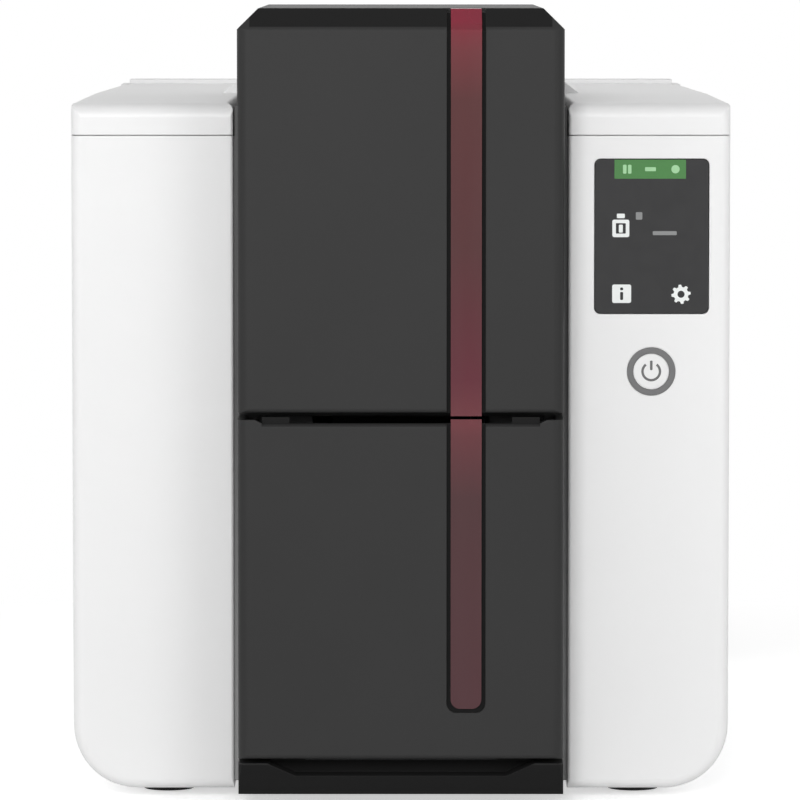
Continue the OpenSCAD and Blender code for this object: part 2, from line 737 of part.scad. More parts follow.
module hopper_shell() difference() {
    translate([0, 0, hopper_door_z]) linear_extrude(hopper_door_top - hopper_door_z) difference() {
        door_plan(0);
        translate([0, 0.5]) square_behind(door_t);
    }
    door_cuts(hopper_hinge_z);
    // round top at the back of the sides, which swings past the upper door
    along_x(-half_tower - 1, half_tower + 1) difference() {
        translate([door_hinge_y + 2, hopper_door_top - 6]) square([door_d, 10]);
        translate([door_hinge_y, hopper_hinge_z]) circle(feeder_door_z - lie - hopper_hinge_z, $fn = 128);
    }
    // relief in the top edge, where a finger pulls the door
    along_y(front_y - 1, front_y + door_t + 3) polygon([[-relief_x - 4, hopper_door_top + 1],
        [-relief_x, feeder_door_z - door_gap], [relief_x, feeder_door_z - door_gap],
        [relief_x + 4, hopper_door_top + 1]]);
    // chamfer along the top edge
    along_x(-relief_x, relief_x) translate([front_y, feeder_door_z - door_gap]) rotate(45)
        square(1.4, center = true);
    along_y(front_y - 1, front_y + door_top_inset)
        strip_end(strip_w + 2 * strip_groove, strip_end_z - strip_groove, hopper_door_top + 2);
}

relief_x = half_tower - 7.5;

// The room inside a door's front and sides
module square_behind(i) translate([i - half_tower, front_y + i - 0.5]) square([tower_w - 2 * i, door_d + 1]);

// An upright strip with a rounded lower end
module strip_end(w, z0, z1) {
    r = 3;
    translate([strip_x - w / 2, z0 + r]) square([w, z1 - z0 - r]);
    translate([strip_x - w / 2 + r, z0]) square([w - 2 * r, r + 1]);
    for (x = [r - w / 2, w / 2 - r])
        translate([strip_x + x, z0 + r]) circle(r, $fn = 48);
}

module hopper_window() color(window_red)
    along_y(front_y + strip_proud, front_y + door_top_inset) strip_end(strip_w, strip_end_z,
        feeder_door_z - 2);

module door_pins() color(steel) both_sides()
    for (z = [hopper_hinge_z, feeder_hinge_z])
        rod_x(inner_x - inner_t + 0.2, half_tower - 0.2, door_hinge_y, z, door_pin_r);

module card_weight() color(dark_plastic) difference() {
    x = bin_x - 0.6;
    union() {
        block([-x, x], [stack_y + 8, stack_back_y - 3], [path_z + lie, path_z + lie + 4]);
        block([-14, 14], [stack_y + 30, stack_back_y - 24], [path_z + lie, path_z + lie + 14]);
        // grip
        block([-9, 9], [stack_y + 14, stack_y + 17], [path_z + lie, path_z + lie + 22]);
    }
    block([-11, 11], [stack_y + 33, stack_back_y - 27], [path_z + lie + 5, path_z + lie + 15]);
}

// ---------- Lid ----------

crease_y = slot_back_y;
roof_angle = atan(roof_fall / (skirt_end_y - crease_y));

// Side view of the roof's outer face, taken in by i
module roof_side(i, y1, z0) difference() {
    polygon([[face_y + i, z0], [face_y + i, shoulder_h - i], [crease_y, shoulder_h - i],
        [y1, roof_rear_z - i], [y1, z0]]);
    translate([face_y + i, shoulder_h - i]) mirror([0, 1]) corner_waste(max(lid_front_r - i, 0.7));
}

module lid_plan(i, y1) difference() {
    translate([i - half_w, face_y + i]) square([body_w - 2 * i, y1 - face_y - i]);
    both_sides() translate([half_w - i, face_y + i]) mirror([1, 0]) corner_waste(max(front_edge_r - i, 0.7));
}

// Front view of the raised spine, an S-curve on each flank
module spine_front() {
    steps = 8;
    flank = [for (i = [0:steps]) let (t = i / steps)
        [spine_foot + (spine_top - spine_foot) * t,
            shoulder_h - 1 + (spine_h + 1) * (3 * t * t - 2 * t * t * t)]];
    polygon(concat([[-spine_foot, shoulder_h - 4], [spine_foot, shoulder_h - 4]], flank,
        [for (i = [steps:-1:0]) [-flank[i][0], flank[i][1]]]));
}

spine_end_y = skirt_end_y - 12;
spine_z = shoulder_h + spine_h;

// Side view of the spine's top, taken in by i
module spine_side(i) polygon([[slot_back_y + i, shoulder_h - 6], [slot_back_y + i, spine_z - i],
    [slot_back_y + 30, spine_z - i], [spine_end_y - i, roof_rear_z + 0.4 - i],
        [spine_end_y - i, shoulder_h - 6]]);

release_y = slot_back_y + 20;
release_hole_l = release_l + 2 * play;
release_hole_w = release_w + 2 * play;
hook_x = 14;
hook_pivot_y = slot_back_y + 9;
hook_pivot_z = shoulder_h - 8;
hook_pin_r = 1.5;

module top_lid() color(white_shell) difference() {
    union() {
        difference() {
            intersection() {
                along_x(-half_w, half_w) roof_side(0, skirt_end_y, lid_bottom);
                translate([0, 0, lid_bottom]) linear_extrude(30) lid_plan(0, skirt_end_y);
            }
            // hollow, less the wall round the tower's slot
            difference() {
                intersection() {
                    along_x(-half_w, half_w) roof_side(wall, skirt_end_y + 1, lid_bottom - 1);
                    translate([0, 0, lid_bottom - 1]) linear_extrude(30) lid_plan(wall, skirt_end_y + 1);
                }
                block([-slot_x - slot_wall, slot_x + slot_wall], [face_y, slot_back_y + slot_wall],
                    [lid_bottom - 2, shoulder_h + 1]);
            }
        }
        // roof between the skirt's end and the hinge bead
        along_x(-bead_x, bead_x) polygon([[skirt_end_y - 2, roof_rear_z], [hinge_y, roof_rear_z],
            [hinge_y, roof_rear_z - wall], [skirt_end_y - 2, roof_rear_z - wall]]);
        rod_x(-bead_x, bead_x, hinge_y, hinge_z, bead_r);
        // raised spine
        intersection() {
            along_y(slot_back_y, spine_end_y) spine_front();
            along_x(-spine_foot, spine_foot) spine_side(0);
        }
        // ears for the latch hook
        for (x = [-hook_x - 4, hook_x + 1])
            difference() {
                block([x, x + 3], [slot_back_y + slot_wall - 0.5, hook_pivot_y + 4],
                    [hook_pivot_z - 4, shoulder_h - wall + 0.5]);
                rod_x(x - 1, x + 4, hook_pivot_y, hook_pivot_z, hook_pin_r + run);
            }
    }
    // slot for the tower, with rounded edges
    block([-slot_x, slot_x], [face_y - 1, slot_back_y], [lid_bottom - 1, shoulder_h + 10]);
    both_sides() {
        along_y(face_y - 1, slot_back_y) translate([slot_x, shoulder_h]) mirror([0,
            1]) corner_waste(lid_slot_r);
        translate([slot_x, face_y, lid_bottom - 1]) linear_extrude(lid_skirt + 2) corner_waste(slot_edge_r);
    }
    // rounded side edges, level in front and falling behind the crease
    both_sides()
        for (angle = [0, -roof_angle])
            translate([0, crease_y, shoulder_h]) rotate([angle, 0, 0]) along_y(face_y - crease_y - 1, body_w)
                translate([half_w, 0]) rotate(180) corner_facets(lid_side_r);
    // rebate for the casing's tongue
    difference() {
        intersection() {
            translate([0, 0, lid_bottom - 1]) linear_extrude(tongue_h + play + 1) lid_plan(tongue_in - lie,
                skirt_end_y + 1);
            along_x(-half_w, half_w) roof_side(0, skirt_end_y + 2, lid_bottom - 1);
        }
        block([-slot_x - slot_wall, slot_x + slot_wall], [face_y, slot_back_y + slot_wall + 40],
            [lid_bottom - 2, shoulder_h + 1]);
    }
    // hollow under the spine
    intersection() {
        block([-spine_top + 4, spine_top - 4], [slot_back_y + slot_wall + 1, spine_end_y - 20],
            [shoulder_h - 5, shoulder_h + 10]);
        along_x(-spine_foot, spine_foot) spine_side(wall);
    }
    // hole for the release button
    translate([0, release_y, shoulder_h - 5]) linear_extrude(20) round_rect(release_hole_w, release_hole_l,
        3);
    // window for the hook's nose
    block([-hook_x, hook_x], [slot_back_y - 1, slot_back_y + slot_wall + 1],
        [hook_pivot_z - 3, hook_pivot_z + 4]);
    // bores of the hinge pins
    both_sides() rod_x(bead_x - hinge_pin_l, bead_x + 1, hinge_y, hinge_z, hinge_pin_r + run);
}

module lid_pins() color(steel) both_sides()
    rod_x(bead_x - hinge_pin_l + 1, half_w - 0.8, hinge_y, hinge_z, hinge_pin_r);

liner_z = lid_bottom - 4;
liner_t = 2;
liner_back_y = skirt_end_y - 14;

module lid_liner() color(dark_plastic) difference() {
    union() {
        block([-half_w + 14, half_w - 14], [slot_back_y + slot_wall + 6, liner_back_y],
            [liner_z, liner_z + liner_t]);
        // posts up to the roof
        both_sides() for (y = [slot_back_y + slot_wall + 14, liner_back_y - 8])
            translate([half_w - 22, y, liner_z]) cylinder(r = 3.5, h = roof_rear_z - wall - liner_z - 0.1,
                $fn = 32);
        for (i = [0:3])
            block([-half_w + 14, half_w - 14], [slot_back_y + 40 + i * 32, slot_back_y + 42 + i * 32],
                [liner_z, liner_z + liner_t + 3]);
    }
    // room for the latch and the release button
    block([-hook_x - 6, hook_x + 6], [slot_back_y, release_y + 14], [liner_z - 1, liner_z + 10]);
}

release_top_z = spine_z - 0.3;

module release_button() color(tower_grey) difference() {
    union() {
        translate([0, release_y, release_top_z - 5]) linear_extrude(5) round_rect(release_w, release_l, 2.6);
        // flange that keeps it in the hole, and the stem that presses the hook
        block([-release_w / 2 - 3, release_w / 2 + 3], [release_y - release_l / 2, release_y + release_l / 2],
            [shoulder_h + spine_h - wall - 2.4, shoulder_h + spine_h - wall - 0.9]);
        block([-5, 5], [release_y - 2.5, release_y - 1], [hook_pivot_z + 2.2, release_top_z - 1]);
    }
    // finger hollow
    translate([0, release_y, release_top_z + 32]) sphere(r = 33, $fn = 96);
}

module latch_hook() color(steel) {
    rod_x(-hook_x - 3.8, hook_x + 3.8, hook_pivot_y, hook_pivot_z, hook_pin_r);
    along_x(0.4 - hook_x, hook_x - 0.4) polygon([
        [tower_back_y + 0.35, hook_pivot_z + 1.5], [tower_back_y + 0.35, hook_pivot_z - 0.5],
        [tower_back_y + 1.6, hook_pivot_z - 2], [hook_pivot_y, hook_pivot_z - 2.2],
        [release_y - 1, hook_pivot_z - 0.6], [release_y, hook_pivot_z + 1.9],
        [hook_pivot_y, hook_pivot_z + 1.5]]);
}

head_x = roller_x + 4;
bracket_t = 2;
bracket_x = head_x + 0.6 + bracket_t;
bracket_y0 = print_y - head_d / 2 - 3;
bracket_y1 = print_y + head_d / 2 + 3;
head_bottom_z = film_z + film_t + 0.2;
head_top_z = head_bottom_z + 26;
bracket_top_z = liner_z;
head_lift = 2;

module head_bracket() color(steel) difference() {
    union() {
        both_sides() along_x(bracket_x - bracket_t, bracket_x) polygon([
            [bracket_y0 - 8, bracket_top_z], [bracket_y0 - 8, bracket_top_z - 8],
            [bracket_y0, head_top_z + 6], [bracket_y0, head_bottom_z + 4],
            [bracket_y1, head_bottom_z + 4], [bracket_y1, head_top_z + 6],
            [bracket_y1 + 8, bracket_top_z - 8], [bracket_y1 + 8, bracket_top_z]]);
        block([-bracket_x, bracket_x], [bracket_y0 - 8, bracket_y1 + 8],
            [bracket_top_z - bracket_t, bracket_top_z]);
        block([-bracket_x + 0.5, bracket_x - 0.5], [bracket_y0, bracket_y1],
            [head_top_z + 10, head_top_z + 12]);
        block([-bracket_x + 0.5, bracket_x - 0.5], [bracket_y0 + 1, bracket_y0 + 2.5],
            [head_top_z + 10, bracket_top_z - 1]);
        // rods that lead the ribbon round the head
        for (y = [bracket_y0 + 0.2, bracket_y1 - 0.2])
            rod_x(-bracket_x + 0.5, bracket_x - 0.5, y, head_bottom_z + 8, 2);
    }
    // slots in which the head rides up and down
    both_sides() block([bracket_x - bracket_t - 1, bracket_x + 1], [print_y - 2.2, print_y + 2.2],
        [head_top_z - 10.2, head_top_z - 10 + 4.4 + head_lift]);
}

module print_head() color(steel) {
    difference() {
        union() {
            // finned block
            block([-head_x, head_x], [print_y - 5, print_y + 5], [head_bottom_z + 6, head_top_z]);
            for (i = [0:4])
                block([-head_x, head_x], [print_y - head_d / 2, print_y + head_d / 2],
                    [head_bottom_z + 9 + i * 3.6, head_bottom_z + 10.6 + i * 3.6]);
            // heater bar
            along_x(-head_x, head_x) polygon([[print_y - 5, head_bottom_z + 6.5],
                [print_y - 3, head_bottom_z + 1],
                [print_y - 1.5, head_bottom_z], [print_y + 1.5, head_bottom_z],
                    [print_y + 3, head_bottom_z + 1],
                [print_y + 5, head_bottom_z + 6.5]]);
        }
        // pockets that hold the springs
        both_sides() translate([head_x - 10, print_y, head_top_z - 3]) cylinder(r = spring_r + 0.4, h = 4,
            $fn = 48);
    }
    // guide pins that ride in the bracket's slots
    both_sides() rod_x(head_x - 0.5, bracket_x + 1, print_y, head_top_z - 8, 2);
}

spring_r = 3.6;

module head_springs() color(steel) both_sides()
    translate([head_x - 10, print_y, head_top_z - 3 + 0.05]) spring(spring_r, 0.5, 12.9, 6);

// A coil spring that stands on its end: outer radius, wire radius, height and turns
module spring(r, wire, h, turns) {
    sides = 6;
    steps = turns * 12;
    path = [for (i = [0:steps]) let (a = 360 * turns * i / steps)
        [(r - wire) * cos(a), (r - wire) * sin(a), wire + (h - 2 * wire) * i / steps]];
    ring = [for (j = [0:sides - 1]) wire * [cos(360 * j / sides), sin(360 * j / sides)]];
    points = [for (i = [0:steps]) let (a = 360 * turns * i / steps)
        for (p = ring) path[i] + [p[0] * cos(a), p[0] * sin(a), p[1]]];
    faces = concat(
        [[for (j = [0:sides - 1]) j]],
        [for (i = [0:steps - 1]) for (j = [0:sides - 1]) let (k = (j + 1) % sides)
            [i * sides + j, (i + 1) * sides + j, (i + 1) * sides + k, i * sides + k]],
        [[for (j = [sides - 1:-1:0]) steps * sides + j]]);
    polyhedron(points, faces, convexity = 10);
}

// ---------- Controls ----------

glass_t = 1.4;

module screen_glass() color([0.26, 0.26, 0.26])
    translate([control_x, face_y + 0.15 + glass_t, screen_z]) rotate([90, 0, 0])
        linear_extrude(glass_t) round_rect(screen_w, screen_h, screen_r);

module screen_module() color(dark_plastic) {
    // display behind the glass
    block([control_x - screen_w / 2 + 0.6, control_x + screen_w / 2 - 0.6],
        [face_y + 0.15 + glass_t, face_y + wall],
        [screen_z - screen_h / 2 + 0.6, screen_z + screen_h / 2 - 0.6]);
    module_x = min(screen_w / 2 + 3, half_w - wall - control_x - 1);
    block([control_x - module_x, control_x + module_x], [face_y + wall, face_y + wall + 7],
        [screen_z - screen_h / 2 - 3, screen_z + screen_h / 2 + 3]);
    // board down to the power switch
    block([control_x - 12, control_x + 12], [face_y + wall + 7, face_y + wall + 8.6],
        [power_z - 12, screen_z + screen_h / 2 + 3]);
    block([control_x - 4, control_x + 4], [switch_y, face_y + wall + 7], [power_z - 4, power_z + 4]);
}

button_l = 5;
switch_y = face_y + 0.2 + button_l + power_travel + 0.3;

module button_ring() color([0.45, 0.45, 0.45]) difference() {
    union() {
        rod_y(face_y - 0.2, face_y + wall, control_x, power_z, ring_r);
        rod_y(face_y + wall, face_y + wall + 1.2, control_x, power_z, ring_r + 1.5);
    }
    rod_y(face_y - 1, face_y + wall + 2, control_x, power_z, power_r + 0.06);
}

module power_button() color(white_shell) {
    rod_y(face_y + 0.2, face_y + 0.2 + button_l, control_x, power_z, power_r);
}

// ---------- Chassis ----------

chassis_y0 = feed_y - 10;
chassis_y1 = back_y - wall - 38;
roller_shafts = [[feed_y, feed_z], [feed_y, clean_z], [entry_y, transport_z], [print_y, platen_z],
    [exit_y, transport_z]];
pinch_shafts = [[entry_y, pinch_z], [exit_y, pinch_z]];
pinch_shaft_r = 2.5;
tie_points = [[chassis_y0 + 12, tray_top + 14], [chassis_y1 - 12, tray_top + 14],
    [chassis_y1 - 12, path_z - 24], [print_y + 34, path_z - 30]];
tie_r = 4;

module chassis_outline() difference() {
    post = 16;
    polygon([[chassis_y0, tray_top], [chassis_y1, tray_top], [chassis_y1, path_z + 18],
        [supply_y + post + 8, path_z + 18], [supply_y + post, spool_z + 10], [supply_y + post, spool_z + 18],
        [supply_y - post, spool_z + 18], [supply_y - post - 8, path_z + 20],
        [takeup_y + post + 8, path_z + 20], [takeup_y + post, spool_z + 10], [takeup_y + post, spool_z + 18],
        [takeup_y - post, spool_z + 18], [chassis_y0, path_z + 30]]);
    // open slots into which the spools drop
    for (y = [takeup_y, supply_y]) {
        translate([y, spool_z]) circle(journal_r + run, $fn = 64);
        translate([y - journal_r - run, spool_z]) square([2 * (journal_r + run), 30]);
        // flared mouth
        translate([0, spool_z + 12]) polygon([[y - journal_r - run, 0], [y + journal_r + run, 0],
            [y + journal_r + 6, 8], [y - journal_r - 6, 8]]);
    }
    for (p = roller_shafts) translate(p) circle(bush_r, $fn = 64);
    for (p = pinch_shafts) translate(p) circle(pinch_shaft_r + run, $fn = 64);
    // openings that save weight
    for (i = [0:1]) translate([chassis_y1 - 34 - i * 118, tray_top + 48]) round_rect(34, 50, 8);
}

module chassis_plate() {
    along_x(plate_x, plate_x + plate_t) chassis_outline();
    block([plate_x - 10, plate_x + plate_t], [chassis_y0 + 4, chassis_y1 - 4],
        [tray_top, tray_top + plate_t]);
}

module chassis_left() color(steel) difference() {
    mirror([1, 0, 0]) chassis_plate();
    rod_x(-plate_x - plate_t - 1, -plate_x + 1, print_y, drive_motor_z, 11.05);
    rod_x(-plate_x - plate_t - 1, -plate_x + 1, feed_motor_y, feed_motor_z, 4);
    rod_x(-plate_x - plate_t - 1, -plate_x + 1, ribbon_motor_y, ribbon_motor_z, 4);
}

module chassis_right() color(steel) chassis_plate();

module tie_bars() color(steel) for (p = tie_points)
    rod_x(-plate_x, plate_x, p[0], p[1], tie_r);

module bearing_bushes() color([0.75, 0.6, 0.3]) both_sides()
    for (p = roller_shafts)
        difference() {
            union() {
                rod_x(plate_x, plate_x + plate_t + 0.8, p[0], p[1], bush_r);
                rod_x(plate_x - 0.9, plate_x, p[0], p[1], bush_r + 1.4);
            }
            rod_x(plate_x - 2, plate_x + plate_t + 2, p[0], p[1], shaft_r + run);
        }

track_top = path_z - lie;

module card_tracks() color(dark_plastic) both_sides() difference() {
    y0 = feed_y - 8;
    y1 = back_y - wall - 2;
    union() {
        block([roller_x + 1.2, plate_x], [y0, y1], [track_top - 2.3, track_top]);
        block([card_w / 2 + lie, card_w / 2 + lie + 1.6], [y0, y1], [track_top - 0.5, path_z + 2]);
    }
    for (p = roller_shafts)
        rod_x(plate_x - 1, plate_x + 1, p[0], p[1], bush_r + 1.6);
    rod_x(roller_x, platen_x + play, print_y, platen_z, platen_r + play);
}

// ---------- Rollers ----------

shaft_end = plate_x + plate_t + 1;

// A roller with its shaft, from x0 to x1
module roller(y, z, r, rod_r, x0, x1) {
    rod_x(x0, x1, y, z, rod_r);
    rod_x(-roller_x, roller_x, y, z, r);
}

module pick_roller() color(rubber_black) {
    roller(pick_y, pick_z, pick_r, shaft_r, 0.3 - half_tower, half_tower - 0.3);
    gear(small_teeth, pick_y, pick_z, pick_angle, 0);
}

module feed_roller() color(rubber_black) {
    roller(feed_y, feed_z, feed_r, shaft_r, -gear_x - gear_w, shaft_end);
    gear(small_teeth, feed_y, feed_z, 0, 0);
}

module cleaning_roller() color([0.2, 0.35, 0.6])
    roller(feed_y, clean_z, clean_r, shaft_r, -shaft_end, shaft_end);

idler_angle = mesh_angle(180, 0, small_teeth, idler_teeth);
pick_angle = mesh_angle(atan2(pick_z - feed_z, pick_y - idler_y), idler_angle, idler_teeth, small_teeth);
feed_pinion_angle = mesh_angle(feed_motor_angle, 0, small_teeth, pinion_teeth);
idler_post_r = 2.5;

module idler_gear() color(gear_white) gear(idler_teeth, idler_y, feed_z, idler_angle, idler_post_r + run);

module feed_pinion() color(gear_white) {
    gear(pinion_teeth, feed_motor_y, feed_motor_z, feed_pinion_angle, 0);
    rod_x(-gear_x - 0.5, 6 - plate_x, feed_motor_y, feed_motor_z, 1.5);
}

feed_motor_r = 9.5;

module feed_motor() color(steel) difference() {
    rod_x(-plate_x, small_motor_l - plate_x, feed_motor_y, feed_motor_z, feed_motor_r);
    rod_x(-plate_x - 1, 8 - plate_x, feed_motor_y, feed_motor_z, 1.5 + run);
}

// A transport roller with a belt pulley of radius p on the left
module pulley_roller(y, z, r, p) {
    roller(y, z, r, shaft_r, -gear_x - belt_w, shaft_end);
    rod_x(-gear_x - belt_w, -gear_x, y, z, p);
}

module entry_roller() color(rubber_black) pulley_roller(entry_y, transport_z, transport_r, pulley_r);
module exit_roller() color(rubber_black) pulley_roller(exit_y, transport_z, transport_r, pulley_r);

module pinch(y) roller(y, pinch_z, pinch_r, pinch_shaft_r, -plate_x - plate_t - 0.5, plate_x + plate_t + 0.5);
module entry_pinch() color(rubber_black) pinch(entry_y);
module exit_pinch() color(rubber_black) pinch(exit_y);

module platen_shaft() color(steel) {
    rod_x(-gear_x - belt_w, shaft_end, print_y, platen_z, shaft_r);
    rod_x(-gear_x - belt_w, -gear_x, print_y, platen_z, platen_pulley_r);
}

module platen_roller() color(rubber_black) difference() {
    rod_x(-platen_x, platen_x, print_y, platen_z, platen_r);
    rod_x(-platen_x - 1, platen_x + 1, print_y, platen_z, shaft_r);
}

module motor_pulley() color(steel) {
    rod_x(-gear_x - belt_w, -gear_x, print_y, drive_motor_z, motor_pulley_r);
    rod_x(-gear_x - 0.5, 10 - plate_x, print_y, drive_motor_z, 2.5);
}

module drive_motor() color(steel) difference() {
    union() {
        translate([-plate_x, print_y, drive_motor_z]) rotate([90, 0, 90])
            linear_extrude(drive_motor_l) round_rect(drive_motor_w, drive_motor_w, 5);
        rod_x(-plate_x - plate_t, -plate_x + 1, print_y, drive_motor_z, 11);
    }
    rod_x(-plate_x - 3, 12 - plate_x, print_y, drive_motor_z, 2.5 + run);
}

// The loop round the entry, exit and motor pulleys, grown by i
module belt_outline(i) hull() {
    translate([entry_y, transport_z]) circle(pulley_r + i, $fn = 96);
    translate([exit_y, transport_z]) circle(pulley_r + i, $fn = 96);
    translate([print_y, drive_motor_z]) circle(motor_pulley_r + i, $fn = 96);
}

module drive_belt() color(rubber_black) along_x(-gear_x - belt_w, -gear_x) difference() {
    belt_outline(belt_play + belt_t);
    belt_outline(belt_play);
}

// ---------- Ribbon ----------

spool_x = plate_x - 4;

module spool(y, wound_r, x0) {
    rod_x(x0, shaft_end, y, spool_z, journal_r);
    rod_x(-spool_x, spool_x, y, spool_z, core_r);
    rod_x(-roller_x - 5, roller_x + 5, y, spool_z, wound_r);
    for (x = [-spool_x, spool_x - 1.6])
        rod_x(x, x + 1.6, y, spool_z, flange_r);
}

module supply_spool() color(dark_plastic) spool(supply_y, full_r, -shaft_end);
module takeup_spool() color(dark_plastic) spool(takeup_y, core_r + 2, -gear_x - gear_w);
module takeup_gear() color(gear_white) gear(takeup_teeth, takeup_y, spool_z, 0, journal_r);

module ribbon_pinion() color(gear_white) {
    gear(ribbon_teeth, ribbon_motor_y, ribbon_motor_z,
        mesh_angle(ribbon_angle, 0, takeup_teeth, ribbon_teeth), 0);
    rod_x(-gear_x - 0.5, 6 - plate_x, ribbon_motor_y, ribbon_motor_z, 1.5);
}

ribbon_motor_r = 12;

module ribbon_motor() color(steel) difference() {
    rod_x(-plate_x, small_motor_l - plate_x, ribbon_motor_y, ribbon_motor_z, ribbon_motor_r);
    rod_x(-plate_x - 1, 8 - plate_x, ribbon_motor_y, ribbon_motor_z, 1.5 + run);
}

module ribbon_film() color([0.3, 0.1, 0.3]) {
    rod_z = head_bottom_z + 8 - 3.1;
    line = [[takeup_y, spool_z - core_r - 2.3], [bracket_y0 + 0.2, rod_z], [print_y - 3, film_z],
        [print_y + 3, film_z], [bracket_y1 - 0.2, rod_z], [supply_y, spool_z - full_r - 0.3]];
    along_x(-roller_x - 4, roller_x + 4)
        polygon(concat([for (p = line) p], [for (i = [len(line) - 1:-1:0]) line[i] + [0, film_t]]));
}

// ---------- Electronics ----------

board_x = half_w - wall - 8;
board_t = 1.6;
rear_board_z = socket_z - 8;

module main_board() color(board_green) {
    board_l = chassis_y1 - entry_y;
    board_z = tray_top + 14;
    block([board_x - board_t, board_x], [entry_y, chassis_y1], [board_z, path_z + 56]);
    for (y = [entry_y + 6, chassis_y1 - 6], z = [board_z + 6, path_z + 50])
        rod_x(board_x, half_w - wall, y, z, 3);
    // chips and connectors: place, size and height
    for (c = [[0.17, 38, 24, 24, 3], [0.46, 38, 16, 16, 2], [0.17, 88, 12, 34, 8],
            [0.51, 98, 20, 12, 6], [0.74, 58, 18, 30, 10], [0.3, 130, 40, 8, 7]])
        translate([board_x - board_t - c[4], entry_y + c[0] * board_l, board_z + c[1]])
            cube([c[4], c[2], c[3]]);
    // board under the sockets
    block([lan_x - 14, inlet_x + 12], [back_y - wall - 34, back_y - wall - 1],
        [rear_board_z - board_t, rear_board_z]);
    for (x = [lan_x - 8, inlet_x + 6], y = [back_y - wall - 30, back_y - wall - 5])
        translate([x, y, tray_top]) cylinder(r = 3, h = rear_board_z - board_t - tray_top, $fn = 32);
}

module power_inlet() color(rubber_black) difference() {
    union() {
        rod_y(back_y - wall - 9, back_y - 0.6, inlet_x, socket_z, inlet_r);
        block([inlet_x - 6, inlet_x + 6], [back_y - wall - 12, back_y - wall - 0.5],
            [rear_board_z, socket_z + 6]);
    }
    difference() {
        rod_y(back_y - wall - 7, back_y + 1, inlet_x, socket_z, inlet_r - 1.6);
        rod_y(back_y - wall - 8, back_y - 6.5, inlet_x, socket_z, 1);
    }
}

module socket(x, w, h) difference() {
    union() {
        block([x - w / 2, x + w / 2], [back_y - wall - 15, back_y - 0.3],
            [socket_z - h / 2, socket_z + h / 2]);
        block([x - w / 2, x + w / 2], [back_y - wall - 15, back_y - wall - 1], [rear_board_z, socket_z]);
    }
    difference() {
        block([x - w / 2 + 1, x + w / 2 - 1], [back_y - wall - 9, back_y + 1],
            [socket_z - h / 2 + 1, socket_z + h / 2 - 1]);
        block([x - w / 2 + 3, x + w / 2 - 3], [back_y - wall - 10, back_y - 6],
            [socket_z - 1.2, socket_z + 1.2]);
    }
}

module data_sockets() color(steel) {
    socket(usb_x, usb_w, usb_h);
    socket(lan_x, lan_w, lan_h);
}

fan_y = back_y - wall - fan_t;

module fan_frame() color(rubber_black) {
    difference() {
        block([fan_x - fan_w / 2, fan_x + fan_w / 2], [fan_y, back_y - wall],
            [fan_z - fan_w / 2, fan_z + fan_w / 2]);
        rod_y(fan_y - 1, back_y - wall + 1, fan_x, fan_z, fan_r);
    }
    // spokes and the hub that carry the rotor
    difference() {
        union() {
            rod_y(fan_y, fan_y + 1.5, fan_x, fan_z, 8);
            block([fan_x - fan_r - 0.5, fan_x + fan_r + 0.5], [fan_y, fan_y + 1.5], [fan_z - 1, fan_z + 1]);
            block([fan_x - 1, fan_x + 1], [fan_y, fan_y + 1.5], [fan_z - fan_r - 0.5, fan_z + fan_r + 0.5]);
        }
        rod_y(fan_y - 1, fan_y + 2, fan_x, fan_z, 1 + run);
    }
}

module fan_rotor() color(dark_plastic) {
    rod_y(fan_y + 0.2, back_y - wall - 1, fan_x, fan_z, 1);
    rod_y(fan_y + 2, back_y - wall - 1, fan_x, fan_z, 7);
    for (i = [0:6])
        translate([fan_x, fan_y + 2.2, fan_z]) rotate([0, i * 360 / 7, 0])
            translate([6, 0, 0]) rotate([-38, 0, 0])
                translate([0, 0, -0.6]) cube([fan_r - 7.2, 6, 1.2]);
}

// ---------- The whole ----------

left_casing();
right_casing();
base_tray();
rubber_feet();
rear_cover();
rear_panel();
tower_frame();
feeder_bin();
hopper_bin();
feeder_door();
feeder_window();
hopper_door();
hopper_window();
door_pins();
card_weight();
top_lid();
lid_pins();
lid_liner();
release_button();
latch_hook();
head_bracket();
print_head();
head_springs();
screen_glass();
screen_module();
button_ring();
power_button();
chassis_left();
chassis_right();
tie_bars();
bearing_bushes();
card_tracks();
pick_roller();
feed_roller();
cleaning_roller();
idler_gear();
feed_pinion();
feed_motor();
diverter_flap();
entry_roller();
exit_roller();
entry_pinch();
exit_pinch();
platen_shaft();
platen_roller();
motor_pulley();
drive_motor();
drive_belt();
supply_spool();
takeup_spool();
takeup_gear();
ribbon_film();
ribbon_pinion();
ribbon_motor();
main_board();
power_inlet();
data_sockets();
fan_frame();
fan_rotor();
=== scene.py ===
import math

